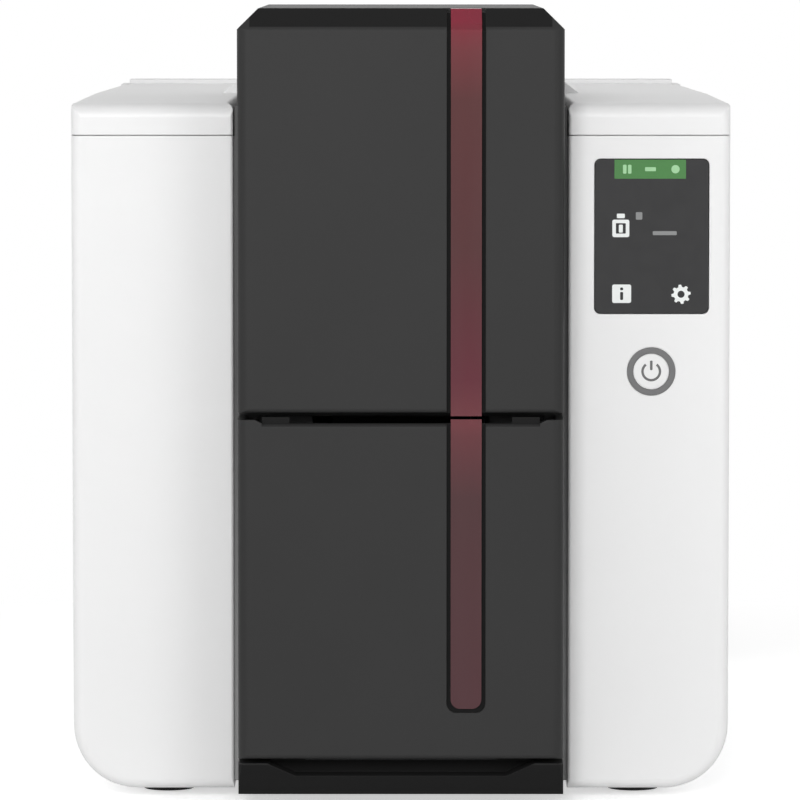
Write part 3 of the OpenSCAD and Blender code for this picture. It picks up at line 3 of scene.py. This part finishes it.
import bmesh
import bpy
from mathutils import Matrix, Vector


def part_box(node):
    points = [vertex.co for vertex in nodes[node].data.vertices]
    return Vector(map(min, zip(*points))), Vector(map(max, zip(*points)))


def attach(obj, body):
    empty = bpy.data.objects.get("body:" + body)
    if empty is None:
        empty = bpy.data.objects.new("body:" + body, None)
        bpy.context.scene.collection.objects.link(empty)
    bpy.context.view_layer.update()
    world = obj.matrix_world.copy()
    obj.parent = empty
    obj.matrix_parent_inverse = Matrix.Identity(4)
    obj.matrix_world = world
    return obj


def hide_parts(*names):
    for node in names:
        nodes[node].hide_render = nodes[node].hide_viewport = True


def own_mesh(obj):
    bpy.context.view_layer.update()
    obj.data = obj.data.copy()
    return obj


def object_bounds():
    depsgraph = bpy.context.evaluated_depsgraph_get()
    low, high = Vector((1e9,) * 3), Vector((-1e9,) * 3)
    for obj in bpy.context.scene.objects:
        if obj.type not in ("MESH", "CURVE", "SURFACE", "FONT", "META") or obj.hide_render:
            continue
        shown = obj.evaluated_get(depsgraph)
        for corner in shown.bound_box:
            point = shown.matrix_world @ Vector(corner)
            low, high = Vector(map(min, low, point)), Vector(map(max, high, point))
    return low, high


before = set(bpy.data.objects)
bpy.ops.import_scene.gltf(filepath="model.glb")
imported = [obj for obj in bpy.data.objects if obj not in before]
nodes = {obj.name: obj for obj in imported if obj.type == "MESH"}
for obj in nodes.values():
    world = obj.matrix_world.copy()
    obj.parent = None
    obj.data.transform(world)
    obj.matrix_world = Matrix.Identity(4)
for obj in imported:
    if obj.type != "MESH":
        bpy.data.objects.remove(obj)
cad_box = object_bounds()

# ---------- Sizes, in metres, in the CAD's frame ----------

FRONT_Y = cad_box[0][1]                      # front of the tower
REAR_Y = cad_box[1][1]                       # back of the rear panel
HEIGHT = cad_box[1][2]
GLASS_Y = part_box("screen_glass")[0][1]       # front of the display's glass
BUTTON_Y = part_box("power_button")[0][1]      # front of the power button
BUTTON_X = 0.0780                            # middle of the power button
BUTTON_Z = 0.1340
TOWER_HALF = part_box("hopper_door")[1][0]     # half the tower's width
LIP_TOP = 0.0143                             # top of the tower's lip, under the lower door
MARK_OUT = 0.00005                           # how far a printed mark stands out of its surface
MARK_IN = 0.00003                            # how far it reaches into it
SECOND_MARK = 0.00004                        # how far a mark on another mark stands out

# ---------- The photograph's view ----------

EYE = Vector((-0.00025, -1.9755, 0.263))
AIM = Vector((-0.00025, -0.1655, 0.1251))
LENS = 262.2
PX = 3219.5               # pixels of the photograph per metre at the white face
MIDDLE_PX = 400.8         # column of pixels that shows x = 0
EYE_LEVEL_PX = -44        # row of pixels at the camera's height

# marks on the display, as boxes of pixels: left, top, right, bottom
STATUS_BAR = (614.5, 159, 686, 178)
BAR_PAUSE_LEFT = (623, 164, 626.5, 173)
BAR_PAUSE_RIGHT = (628, 164, 631.5, 173)
BAR_DASH = (645, 166.5, 656, 170.5)
BAR_DOT = (675.5, 168.5)
CARD = (612.5, 219, 629.5, 236.5)
CARD_SLOT = (617, 213, 625, 217.5)
CARD_CHIP = (619, 224, 623, 232)
DOT = (636, 211.5, 642.5, 219)
LINE = (653, 230.5, 677, 234.5)
INFO = (612.5, 284, 631.5, 302.5)
INFO_STEM = (620.5, 291.5, 623.5, 299.5)
INFO_DOT = (620.5, 287, 623.5, 289.8)
COG = (681.5, 293.8)


def pixel(x, y):
    """Place on the white face that a pixel of the photograph shows."""
    return (x - MIDDLE_PX) / PX, EYE.z - (y - EYE_LEVEL_PX) / PX


# ---------- Camera ----------

camera_data = bpy.data.cameras.new("camera")
camera_data.lens = LENS
camera_data.sensor_width = 36
camera_data.clip_end = 200
camera = bpy.data.objects.new("camera", camera_data)
bpy.context.scene.collection.objects.link(camera)
camera.location = EYE
camera.rotation_euler = (AIM - EYE).to_track_quat("-Z", "Y").to_euler()
bpy.context.scene.camera = camera


# ---------- Node trees ----------

class Nodes:
    """A node tree, emptied down to its output, with short calls to add and join nodes."""

    def __init__(self, tree, output):
        self.tree = tree
        self.tree.nodes.clear()
        self.out = self.add(output)

    def add(self, kind, **values):
        """A new node, with its sockets and settings by name."""
        node = self.tree.nodes.new(kind)
        for key, value in values.items():
            if key in node.inputs:
                node.inputs[key].default_value = value
            else:
                setattr(node, key, value)
        return node

    def join(self, a, b):
        self.tree.links.new(a, b)

    def feed(self, value, socket):
        """Joins an output to a socket, or sets the socket to a value."""
        if hasattr(value, "links"):
            self.join(value, socket)
        else:
            socket.default_value = value

    def position(self, scale=(1, 1, 1)):
        """Object coordinates, stretched by scale."""
        place = self.add("ShaderNodeTexCoord")
        mapping = self.add("ShaderNodeMapping", Scale=scale)
        self.join(place.outputs["Object"], mapping.inputs["Vector"])
        return mapping.outputs["Vector"]

    def apart(self):
        """The three object coordinates, by the names X, Y and Z."""
        split = self.add("ShaderNodeSeparateXYZ")
        self.join(self.position(), split.inputs["Vector"])
        return split.outputs

    def noise(self, scale, detail=2.0, stretch=(1, 1, 1)):
        node = self.add("ShaderNodeTexNoise", Scale=scale, Detail=detail)
        self.join(self.position(stretch), node.inputs["Vector"])
        return node.outputs["Fac"]

    def spread(self, value, low, high, start=0.3, end=0.7):
        """Low where value is start, high where it is end, and even between."""
        node = self.add("ShaderNodeMapRange")
        node.inputs["From Min"].default_value = start
        node.inputs["From Max"].default_value = end
        node.inputs["To Min"].default_value = low
        node.inputs["To Max"].default_value = high
        self.join(value, node.inputs["Value"])
        return node.outputs["Result"]

    def math(self, operation, a, b=0.0):
        node = self.add("ShaderNodeMath", operation=operation)
        self.feed(a, node.inputs[0])
        self.feed(b, node.inputs[1])
        return node.outputs[0]

    def blend(self, factor, low, high):
        """Mix of two colours; the node's colour sockets are 6 and 7, and its colour output is 2."""
        node = self.add("ShaderNodeMix", data_type="RGBA")
        self.join(factor, node.inputs[0])
        for socket, colour in ((node.inputs[6], low), (node.inputs[7], high)):
            self.feed(colour if hasattr(colour, "links") else (*colour, 1), socket)
        return node.outputs[2]

    def finish(self, shader):
        self.join(shader.outputs[0], self.out.inputs["Surface"])

    def finish_mixed(self, factor, first, second):
        mix = self.add("ShaderNodeMixShader")
        self.join(factor, mix.inputs["Fac"])
        self.join(first.outputs[0], mix.inputs[1])
        self.join(second.outputs[0], mix.inputs[2])
        self.finish(mix)

    def seen(self):
        """1 for rays that reach the background from the camera, a mirror or a glass."""
        path = self.add("ShaderNodeLightPath").outputs
        first = self.math("MAXIMUM", path["Is Camera Ray"], path["Is Glossy Ray"])
        return self.math("MAXIMUM", first, path["Is Transmission Ray"])


def new_material(name):
    material = bpy.data.materials.new(name)
    material.use_nodes = True
    return material, Nodes(material.node_tree, "ShaderNodeOutputMaterial")


# ---------- Materials ----------

WHITE = (0.85, 0.85, 0.85)
GREY = (0.0235, 0.0235, 0.0235)
BUMP = 0.5
RUBBED_TONE = 2.2                    # how much paler a rubbed edge is
# cosine of the angle between a face and its rounded normal, where wear is full and where it is gone
RUBBED_FULLY = 0.8
RUBBED_NONE = 0.99
FLANGE_PAINTED_LIGHT_LOW = (0.36, 0.36, 0.36)      # painted light on the flanges beside the tower, near the table
FLANGE_PAINTED_LIGHT_HIGH = (0.11, 0.11, 0.11)     # and from FLANGE_TURN up
FLANGE_TURN = 0.13
DOOR_SKIN = 0.0006                   # depth at which a door's front skin ends
DOOR_SIDE = 0.004                    # width of a door's outer edge
WINDOW_DUST = (0.05, 0.03, 0.032)
# share of the height, and the red strip's colour there, with painted light: brighter over the top chamfer
# and round the gap between the doors
WINDOW_TONES_AND_PAINTED_LIGHT = [
    (0.0, (0.060, 0.024, 0.028)),
    (0.14, (0.073, 0.025, 0.030)),
    (0.39, (0.068, 0.025, 0.028)),
    (0.470, (0.125, 0.030, 0.037)),
    (0.483, (0.150, 0.034, 0.042)),
    (0.539, (0.112, 0.018, 0.030)),
    (0.70, (0.080, 0.021, 0.023)),
    (0.886, (0.087, 0.020, 0.021)),
    (0.950, (0.150, 0.023, 0.030)),
    (0.970, (0.180, 0.018, 0.030)),
    (0.985, (0.235, 0.010, 0.032)),
]


def tone(colour, k):
    return tuple(min(1.0, c * k) for c in colour)


def surface(name, colour, rough=(0.4, 0.5), grain=1400, height=0.00002, stretch=(1, 1, 1), blotch=18,
            vary=0.03, edge=0.0004, metallic=0.0, specular=0.5, coat=0.0, wear=0.0, paint=None):
    """Moulded, ground or brushed surface: grain, soft edges, and slow changes of colour and gloss.

    wear rubs the edges paler, and needs an edge; paint takes the nodes, the colour and the gloss and
    gives back both changed.
    """
    material, n = new_material(name)
    shader = n.add("ShaderNodeBsdfPrincipled", **{
        "Metallic": metallic,
        "Specular IOR Level": specular,
        "Coat Weight": coat,
        "Coat Roughness": 0.08,
    })
    slow = n.noise(blotch, 3.0)
    fine = n.noise(grain, 2.0, stretch)
    tint = n.blend(n.spread(slow, 0, 1), tone(colour, 1 - vary), tone(colour, 1 + vary))
    gloss = n.spread(fine, rough[0], rough[1])
    if paint:
        tint, gloss = paint(n, tint, gloss)
    bump = n.add("ShaderNodeBump", Strength=BUMP, Distance=height)
    n.join(fine, bump.inputs["Height"])
    if edge:
        bevel = n.add("ShaderNodeBevel", samples=4, Radius=edge)
        n.join(bevel.outputs["Normal"], bump.inputs["Normal"])
    if wear:
        facing = n.add("ShaderNodeVectorMath", operation="DOT_PRODUCT")
        n.join(bevel.outputs["Normal"], facing.inputs[0])
        n.join(n.add("ShaderNodeNewGeometry").outputs["Normal"], facing.inputs[1])
        rubbed = n.spread(facing.outputs["Value"], wear, 0, RUBBED_FULLY, RUBBED_NONE)
        tint = n.blend(rubbed, tint, tone(colour, RUBBED_TONE))
    n.join(tint, shader.inputs["Base Color"])
    n.join(gloss, shader.inputs["Roughness"])
    n.join(bump.outputs["Normal"], shader.inputs["Normal"])
    n.finish(shader)
    return material


def tower_frame_painted_shade_and_light(n, tint, gloss):
    """Painted shade on the lip under the lower door, which is also made dull, and painted light on the
    flanges in the gaps beside the tower, palest near the table.
    """
    place = n.apart()
    lip = n.spread(place["Z"], 1, 0, LIP_TOP - 0.0005, LIP_TOP + 0.0005)
    flange = n.spread(n.math("ABSOLUTE", place["X"]), 0, 1, TOWER_HALF, TOWER_HALF + 0.0002)
    pale = n.blend(n.spread(place["Z"], 1, 0, 0.0, FLANGE_TURN), FLANGE_PAINTED_LIGHT_HIGH, FLANGE_PAINTED_LIGHT_LOW)
    # painted shade: the lip's colour is darkened
    tint = n.blend(lip, tint, tone(GREY, 0.27))
    # painted light: the flanges' colour is made paler, most near the table
    tint = n.blend(flange, tint, pale)
    return tint, n.math("MAXIMUM", gloss, n.math("MULTIPLY", lip, 0.85))


def door_painted_shade(n, tint, gloss):
    """Painted shade inside a door: darker colour behind its front skin and between its outer edges."""
    place = n.apart()
    side = TOWER_HALF - DOOR_SIDE
    behind = n.spread(place["Y"], 0, 1, FRONT_Y + DOOR_SKIN, FRONT_Y + DOOR_SKIN + 0.0003)
    between = n.spread(n.math("ABSOLUTE", place["X"]), 1, 0, side, side + 0.0004)
    inner = n.math("MULTIPLY", behind, between)
    # painted shade: the door's inner faces are darkened
    tint = n.blend(inner, tint, tone(GREY, 0.3))
    return tint, n.math("MAXIMUM", gloss, n.math("MULTIPLY", inner, 0.8))


def glow(name, colour, strength):
    """A lit shape on the display, with the faint rows of its pixels."""
    material, n = new_material(name)
    shader = n.add("ShaderNodeBsdfPrincipled", **{"Roughness": 0.25, "Emission Strength": strength})
    rows = n.add("ShaderNodeTexWave", bands_direction="Z", Scale=900)
    n.join(n.position(), rows.inputs["Vector"])
    lit = n.blend(rows.outputs["Fac"], tone(colour, 0.9), colour)
    n.join(lit, shader.inputs["Base Color"])
    n.join(lit, shader.inputs["Emission Color"])
    n.finish(shader)
    return material


def window_red():
    """Tinted strip: deep red, with painted light by height: brighter over the chamfer and round the gap
    between the doors.
    """
    material, n = new_material("window_red")
    shader = n.add("ShaderNodeBsdfPrincipled", **{
        "Specular IOR Level": 0.27,
        "Coat Weight": 0.04,
        "Coat Roughness": 0.05,
    })
    ramp = n.add("ShaderNodeValToRGB")
    stops = ramp.color_ramp.elements
    for stop, (place, colour) in zip(stops, (WINDOW_TONES_AND_PAINTED_LIGHT[0], WINDOW_TONES_AND_PAINTED_LIGHT[-1])):
        stop.position = place
        stop.color = (*colour, 1)
    for place, colour in WINDOW_TONES_AND_PAINTED_LIGHT[1:-1]:
        stops.new(place).color = (*colour, 1)
    # painted light: the strip's colour ramp runs by height
    n.join(n.spread(n.apart()["Z"], 0, 1, 0.0, HEIGHT), ramp.inputs["Fac"])
    stripes = n.noise(60, 2.0, (1, 1, 0.12))
    dusty = n.blend(n.spread(stripes, 0, 0.16), ramp.outputs["Color"], WINDOW_DUST)
    n.join(dusty, shader.inputs["Base Color"])
    n.join(n.spread(stripes, 0.2, 0.3), shader.inputs["Roughness"])
    n.finish(shader)
    return material


TOWER_PLASTIC = dict(rough=(0.42, 0.52), grain=1800, height=0.00002, vary=0.05, edge=0.0005,
                     specular=0.18, wear=0.25)
M = {
    "shell": surface("shell", WHITE, rough=(0.36, 0.44), grain=2200, height=0.00001, vary=0.006,
                     edge=0.0005),
    "tower": surface("tower", GREY, paint=door_painted_shade, **TOWER_PLASTIC),
    "tower_frame": surface("tower_frame", GREY, paint=tower_frame_painted_shade_and_light, **TOWER_PLASTIC),
    "window": window_red(),
    "dark": surface("dark", (0.02, 0.02, 0.021), rough=(0.45, 0.6), grain=1200, height=0.00003, vary=0.08),
    "liner": surface("liner", (0.05, 0.05, 0.052), rough=(0.45, 0.6), grain=1200, height=0.00003,
                     vary=0.08),
    "rubber": surface("rubber", (0.018, 0.018, 0.018), rough=(0.62, 0.8), grain=900, height=0.00005,
                      vary=0.1, specular=0.35),
    "roller": surface("roller", (0.03, 0.03, 0.03), rough=(0.5, 0.65), grain=500, height=0.00002,
                      stretch=(0.2, 1, 1), vary=0.1, edge=0.0003),
    "blue": surface("blue", (0.035, 0.12, 0.36), rough=(0.3, 0.42), grain=600, height=0.00002, vary=0.06),
    "steel": surface("steel", (0.55, 0.56, 0.58), rough=(0.3, 0.38), grain=1600, height=0.000004,
                     stretch=(1, 1, 0.08), vary=0.04, metallic=1.0, edge=0.0003),
    "turned": surface("turned", (0.58, 0.58, 0.6), rough=(0.18, 0.32), grain=700, height=0.00001,
                      stretch=(3, 0.1, 0.1), vary=0.04, metallic=1.0, edge=0.0002),
    "alloy": surface("alloy", (0.5, 0.51, 0.53), rough=(0.4, 0.55), grain=900, height=0.00003, vary=0.05,
                     metallic=1.0, edge=0.0003),
    "screw": surface("screw", (0.09, 0.09, 0.092), rough=(0.34, 0.48), grain=1500, height=0.00001,
                     vary=0.08, metallic=1.0, edge=0.0002, wear=0.4),
    "bronze": surface("bronze", (0.5, 0.34, 0.15), rough=(0.35, 0.5), grain=900, height=0.00002, vary=0.1,
                      metallic=1.0, edge=0.0002),
    "gear": surface("gear", (0.72, 0.7, 0.64), rough=(0.35, 0.45), grain=900, height=0.00001, vary=0.03,
                    edge=0.0002),
    "film": surface("film", (0.18, 0.035, 0.14), rough=(0.1, 0.2), grain=100, height=0.00002,
                    stretch=(0.1, 1, 1), vary=0.2, edge=0.0, coat=0.5),
    "glass": surface("glass", (0.024, 0.024, 0.025), rough=(0.2, 0.26), grain=300, height=0.000002,
                     vary=0.04, specular=0.3, coat=0.15),
    "ring": surface("ring", (0.15, 0.15, 0.152), rough=(0.3, 0.4), grain=1500, height=0.00001, vary=0.04),
    "symbol": surface("symbol", (0.12, 0.12, 0.122), rough=(0.4, 0.5), grain=1500, height=0.00001,
                      vary=0.04, edge=0.0),
    "board": surface("board", (0.012, 0.11, 0.04), rough=(0.3, 0.42), grain=160, height=0.00002, vary=0.25,
                     blotch=90),
    "green": glow("green", (0.050, 0.20, 0.044), 0.1),
    "pale_green": glow("pale_green", (0.34, 0.62, 0.33), 0.1),
    "lit": glow("lit", (0.72, 0.74, 0.73), 0.25),
    "dim": glow("dim", (0.235, 0.24, 0.24), 0.12),
}

FINISH = {
    "shell": ["left_casing", "right_casing", "rear_cover", "top_lid", "power_button"],
    "tower": ["feeder_door", "hopper_door", "release_button"],
    "tower_frame": ["tower_frame"],
    "window": ["feeder_window", "hopper_window"],
    "dark": ["base_tray", "rear_panel", "feeder_bin", "hopper_bin", "card_weight", "screen_module",
             "card_tracks", "supply_spool", "takeup_spool", "power_inlet", "fan_frame", "fan_rotor"],
    "liner": ["lid_liner"],
    "rubber": ["rubber_feet", "drive_belt"],
    "roller": ["pick_roller", "feed_roller", "entry_roller", "exit_roller", "entry_pinch", "exit_pinch",
               "platen_roller"],
    "blue": ["cleaning_roller"],
    "steel": ["latch_hook", "head_bracket", "chassis_left", "chassis_right", "feed_motor", "drive_motor",
              "ribbon_motor", "data_sockets"],
    "turned": ["door_pins", "lid_pins", "head_springs", "tie_bars", "platen_shaft", "motor_pulley"],
    "alloy": ["print_head"],
    "bronze": ["bearing_bushes"],
    "gear": ["diverter_flap", "idler_gear", "feed_pinion", "takeup_gear", "ribbon_pinion"],
    "film": ["ribbon_film"],
    "glass": ["screen_glass"],
    "ring": ["button_ring"],
    "board": ["main_board"],
}
for finish, members in FINISH.items():
    for member in members:
        nodes[member].data.materials.clear()
        nodes[member].data.materials.append(M[finish])


# ---------- Outlines and pieces ----------

def add_piece(name, bm, material, body):
    mesh = bpy.data.meshes.new(name)
    bmesh.ops.recalc_face_normals(bm, faces=bm.faces)
    bm.to_mesh(mesh)
    bm.free()
    mesh.materials.append(M[material])
    piece = bpy.data.objects.new(name, mesh)
    bpy.context.scene.collection.objects.link(piece)
    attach(piece, body)
    return piece


def plate(bm, outline, y0, y1, hole=None):
    """A flat shape in an X-Z outline, from y0 to y1; hole is an inner outline with as many points."""
    front = [bm.verts.new((x, y0, z)) for x, z in outline]
    back = [bm.verts.new((x, y1, z)) for x, z in outline]
    count = len(outline)
    for i in range(count):
        j = (i + 1) % count
        bm.faces.new((front[i], front[j], back[j], back[i]))
    if hole is None:
        bm.faces.new(front)
        bm.faces.new(back[::-1])
        return
    front_in = [bm.verts.new((x, y0, z)) for x, z in hole]
    back_in = [bm.verts.new((x, y1, z)) for x, z in hole]
    for i in range(count):
        j = (i + 1) % count
        bm.faces.new((front_in[i], front_in[j], front[j], front[i]))
        bm.faces.new((back[i], back[j], back_in[j], back_in[i]))
        bm.faces.new((front_in[i], back_in[i], back_in[j], front_in[j]))


def rounded(x0, z0, x1, z1, r, steps=5):
    """Outline of a rectangle with round corners."""
    points = []
    centres = ((x1 - r, z1 - r), (x0 + r, z1 - r), (x0 + r, z0 + r), (x1 - r, z0 + r))
    for quarter, (cx, cz) in enumerate(centres):
        for i in range(steps + 1):
            a = math.radians(90 * quarter + 90 * i / steps)
            points.append((cx + r * math.cos(a), cz + r * math.sin(a)))
    return points


def around(cx, cz, radii):
    """Outline with one point for each radius, at even angles."""
    count = len(radii)
    return [(cx + r * math.cos(2 * math.pi * i / count), cz + r * math.sin(2 * math.pi * i / count))
            for i, r in enumerate(radii)]


def circle(cx, cz, r, count=24):
    return around(cx, cz, [r] * count)


def corners(box):
    """Lowest and highest corner, in metres, of a box of pixels."""
    left, top, right, bottom = box
    return (*pixel(left, bottom), *pixel(right, top))


def tile(box, r=0.0003):
    return rounded(*corners(box), r)


# ---------- Display ----------

def display(name, material, plates, out=MARK_OUT):
    """Flat marks on the glass; plates holds an outline and its hole, or None, for each."""
    bm = bmesh.new()
    for outline, hole in plates:
        plate(bm, outline, GLASS_Y - out, GLASS_Y + MARK_IN, hole)
    return add_piece(name, bm, material, "housing")


def solid(*outlines):
    return [(outline, None) for outline in outlines]


ON_MARK = MARK_OUT + SECOND_MARK

# status bar with three generic marks
display("display_bar", "green", solid(tile(STATUS_BAR, 0.0002)))
display("display_bar_marks", "pale_green",
        solid(tile(BAR_PAUSE_LEFT), tile(BAR_PAUSE_RIGHT), tile(BAR_DASH), circle(*pixel(*BAR_DOT), 0.0013)),
        ON_MARK)

# a card with its slot and chip, a dot and a short line
CARD_RIM = 0.0011
x0, z0, x1, z1 = corners(CARD)
card_rim = (rounded(x0, z0, x1, z1, 0.0006),
            rounded(x0 + CARD_RIM, z0 + CARD_RIM, x1 - CARD_RIM, z1 - CARD_RIM, 0.0002))
display("display_card", "lit", [card_rim] + solid(tile(CARD_SLOT), tile(CARD_CHIP)))
display("display_dot", "dim", solid(tile(DOT)))
display("display_line", "dim", solid(tile(LINE)))

# information mark
display("display_info", "lit", solid(tile(INFO, 0.0006)))
display("display_info_mark", "glass", solid(tile(INFO_STEM), tile(INFO_DOT)), ON_MARK)

# cog wheel
COG_TEETH = 8
COG_TIP = 0.0030
COG_ROOT = 0.0023
COG_BORE = 0.0011
cog = around(*pixel(*COG), ([COG_TIP] * 3 + [COG_ROOT] * 3) * COG_TEETH)
display("display_cog", "lit", [(cog, circle(*pixel(*COG), COG_BORE, len(cog)))])

# ---------- Power mark on its button ----------

POWER_OUTER = 0.0031
POWER_INNER = 0.00235
POWER_GAP = 38            # degrees from the top to each end of the broken ring
POWER_STEPS = 32
STROKE_HALF = 0.0004
STROKE_FROM = 0.0004      # ends of the upright stroke, over the button's middle
STROKE_TO = 0.0034
bm = bmesh.new()
outer, inner = [], []
for i in range(POWER_STEPS + 1):
    a = math.radians(90 + POWER_GAP + (360 - 2 * POWER_GAP) * i / POWER_STEPS)
    outer.append((BUTTON_X + POWER_OUTER * math.cos(a), BUTTON_Z + POWER_OUTER * math.sin(a)))
    inner.append((BUTTON_X + POWER_INNER * math.cos(a), BUTTON_Z + POWER_INNER * math.sin(a)))
stroke = rounded(BUTTON_X - STROKE_HALF, BUTTON_Z + STROKE_FROM,
                 BUTTON_X + STROKE_HALF, BUTTON_Z + STROKE_TO, 0.0003)
for outline in (outer + inner[::-1], stroke):
    plate(bm, outline, BUTTON_Y - MARK_OUT, BUTTON_Y + MARK_IN)
add_piece("power_mark", bm, "symbol", "power_button")

# ---------- Screws that hold the rear panel, sunk in its four recesses ----------

SCREW_X = 0.0928
SCREW_Z = (0.029, 0.140)
SOCKET_LOBE = 0.00135     # a socket with six lobes
SOCKET_VALLEY = 0.00100
# each step of the head, from the recess's floor out: radius, depth where it starts and ends, and if the
# socket goes through it
HEAD_STEPS = [
    (0.0030, 0.00092, 0.0006, False),
    (0.0029, 0.0006, 0.0003, True),
    (0.0024, 0.0003, 0.00015, True),
]
bm = bmesh.new()
for x in (-SCREW_X, SCREW_X):
    for z in SCREW_Z:
        socket = around(x, z, [SOCKET_LOBE, SOCKET_LOBE, SOCKET_VALLEY, SOCKET_VALLEY] * 6)
        for r, start, end, open_socket in HEAD_STEPS:
            plate(bm, circle(x, z, r), REAR_Y - start, REAR_Y - end, socket if open_socket else None)
add_piece("panel_screws", bm, "screw", "housing")

# ---------- Coil springs over the print head, in the place of the CAD's springs, carried with the lid ---

SPRING_R = 0.0036
WIRE_R = 0.0005
TURNS = 6
TURN_STEPS = 24
WIRE_SIDES = 8
low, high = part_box("head_springs")
spring_y = (low[1] + high[1]) / 2


def coil(bm, cx, cy, z0, z1):
    """A coil of wire round an upright axis, from z0 to z1 over its wire."""
    steps = TURNS * TURN_STEPS
    rings = []
    for i in range(steps + 1):
        turn = 2 * math.pi * i / TURN_STEPS
        rise = z0 + WIRE_R + (z1 - z0 - 2 * WIRE_R) * i / steps
        ring = []
        for k in range(WIRE_SIDES):
            a = 2 * math.pi * k / WIRE_SIDES
            r = SPRING_R - WIRE_R + WIRE_R * math.cos(a)
            ring.append(bm.verts.new((cx + r * math.cos(turn), cy + r * math.sin(turn),
                                      rise + WIRE_R * math.sin(a))))
        rings.append(ring)
    for a, b in zip(rings, rings[1:]):
        for k in range(WIRE_SIDES):
            m = (k + 1) % WIRE_SIDES
            bm.faces.new((a[k], b[k], b[m], a[m]))
    bm.faces.new(rings[0])
    bm.faces.new(rings[-1][::-1])


bm = bmesh.new()
for x in (low[0] + SPRING_R, high[0] - SPRING_R):
    coil(bm, x, spring_y, low[2], high[2])
coils = add_piece("head_coils", bm, "turned", "lid")
for face in coils.data.polygons:
    face.use_smooth = True
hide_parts("head_springs")
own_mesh(coils)

# ---------- Contact springs on the tongues of the two data sockets ----------

TONGUE_Y = REAR_Y - 0.006     # tip of the tongues
TONGUE_HALF = 0.0012
SOCKET_Z = 0.034
CONTACT_HALF = 0.0002
CONTACT_LENGTH = 0.0055
# middle, number and pitch of each row, and 1 above the tongue or -1 below
CONTACT_ROWS = [(0.026, 8, 0.00095, 1), (0.050, 2, 0.0024, 1), (0.050, 2, 0.0024, -1)]


def contact_profile(side):
    """Section in Y-Z: along the tongue's surface, round its tip and back in a slight bow."""
    base = SOCKET_Z + side * TONGUE_HALF
    return [(TONGUE_Y - CONTACT_LENGTH, base), (TONGUE_Y + 0.0001, base), (TONGUE_Y + 0.0001, SOCKET_Z),
            (TONGUE_Y + 0.00025, SOCKET_Z), (TONGUE_Y + 0.00025, base + side * 0.0001),
            (TONGUE_Y - 0.0020, base + side * 0.0004), (TONGUE_Y - CONTACT_LENGTH, base + side * 0.00015)]


def contact(bm, x, profile):
    left = [bm.verts.new((x - CONTACT_HALF, y, z)) for y, z in profile]
    right = [bm.verts.new((x + CONTACT_HALF, y, z)) for y, z in profile]
    for j in range(len(profile)):
        k = (j + 1) % len(profile)
        bm.faces.new((left[j], left[k], right[k], right[j]))
    bm.faces.new(left)
    bm.faces.new(right[::-1])


bm = bmesh.new()
for middle, count, pitch, side in CONTACT_ROWS:
    for i in range(count):
        contact(bm, middle + (i - (count - 1) / 2) * pitch, contact_profile(side))
add_piece("socket_contacts", bm, "bronze", "housing")

# ---------- Floor: matt near the object, where it keeps the shadow, and white further out ----------

FLOOR_R = 6
FLOOR_DROP = 0.0002           # how far it lies under the feet
FLOOR_COLOUR = (0.86, 0.86, 0.86, 1)
FLOOR_LIFT = 0.56             # added light that only the background's rays see
MATT_TO = 0.24
WHITE_FROM = 0.42

floor_material, n = new_material("floor")
place = n.add("ShaderNodeTexCoord")
distance = n.add("ShaderNodeVectorMath", operation="LENGTH")
n.join(place.outputs["Object"], distance.inputs[0])
away = n.spread(distance.outputs["Value"], 0, 1, MATT_TO, WHITE_FROM)
matt = n.add("ShaderNodeBsdfDiffuse", Color=FLOOR_COLOUR)
pale = n.add("ShaderNodeEmission")
n.join(n.math("MULTIPLY", n.seen(), FLOOR_LIFT), pale.inputs["Strength"])
near = n.add("ShaderNodeAddShader")
n.join(matt.outputs[0], near.inputs[0])
n.join(pale.outputs[0], near.inputs[1])
white = n.add("ShaderNodeEmission", Strength=1.0)
n.finish_mixed(n.math("MULTIPLY", away, n.seen()), near, white)

bpy.ops.mesh.primitive_circle_add(vertices=96, radius=FLOOR_R, fill_type="NGON",
                                  location=(0, 0, -FLOOR_DROP))
floor = bpy.context.object
floor.name = "floor"
floor.data.materials.append(floor_material)

# ---------- World: a white backdrop, and a fill that is stronger from behind and weak from above ----------

FILL_FRONT = 0.38
FILL_SIDE = 0.85
FILL_BEHIND = 0.65            # what is added to the side's level
FILL_ABOVE = 0.2              # share of the level that comes from above

world = bpy.data.worlds.new("world")
bpy.context.scene.world = world
world.use_nodes = True
w = Nodes(world.node_tree, "ShaderNodeOutputWorld")
backdrop = w.add("ShaderNodeBackground", Color=(1, 1, 1, 1), Strength=1.0)
fill = w.add("ShaderNodeBackground", Color=(1, 1, 1, 1))
sky = w.add("ShaderNodeTexCoord")
direction = w.add("ShaderNodeSeparateXYZ")
w.join(sky.outputs["Generated"], direction.inputs["Vector"])
depth, height = direction.outputs["Y"], direction.outputs["Z"]
level = w.math("ADD", w.spread(depth, FILL_FRONT, FILL_SIDE, -0.9, -0.3),
               w.spread(depth, 0, FILL_BEHIND, -0.35, 0.3))
level = w.math("MULTIPLY", level, w.spread(height, 1, FILL_ABOVE, 0.2, 0.65))
w.join(level, fill.inputs["Strength"])
w.finish_mixed(w.seen(), fill, backdrop)

# ---------- Lamps ----------

FACE_AIM = (0, -0.16, 0.12)
ROOF_AIM = (0, 0, 0.2)


def lamp(name, place, target, size, watts):
    data = bpy.data.lights.new(name, "AREA")
    data.shape = "DISK"
    data.size = size
    data.energy = watts
    obj = bpy.data.objects.new(name, data)
    bpy.context.scene.collection.objects.link(obj)
    obj.location = place
    obj.rotation_euler = (Vector(target) - Vector(place)).to_track_quat("-Z", "Y").to_euler()


lamp("key", (-0.5, -3.3, 1.15), FACE_AIM, 1.2, 54)
lamp("right", (2.3, -2.9, 0.8), FACE_AIM, 1.7, 20)
lamp("left", (-2.2, -1.4, 0.5), FACE_AIM, 0.8, 4.5)
lamp("back", (0.3, 2.3, 1.9), ROOF_AIM, 1.6, 3)

bpy.context.scene.view_settings.view_transform = "Standard"
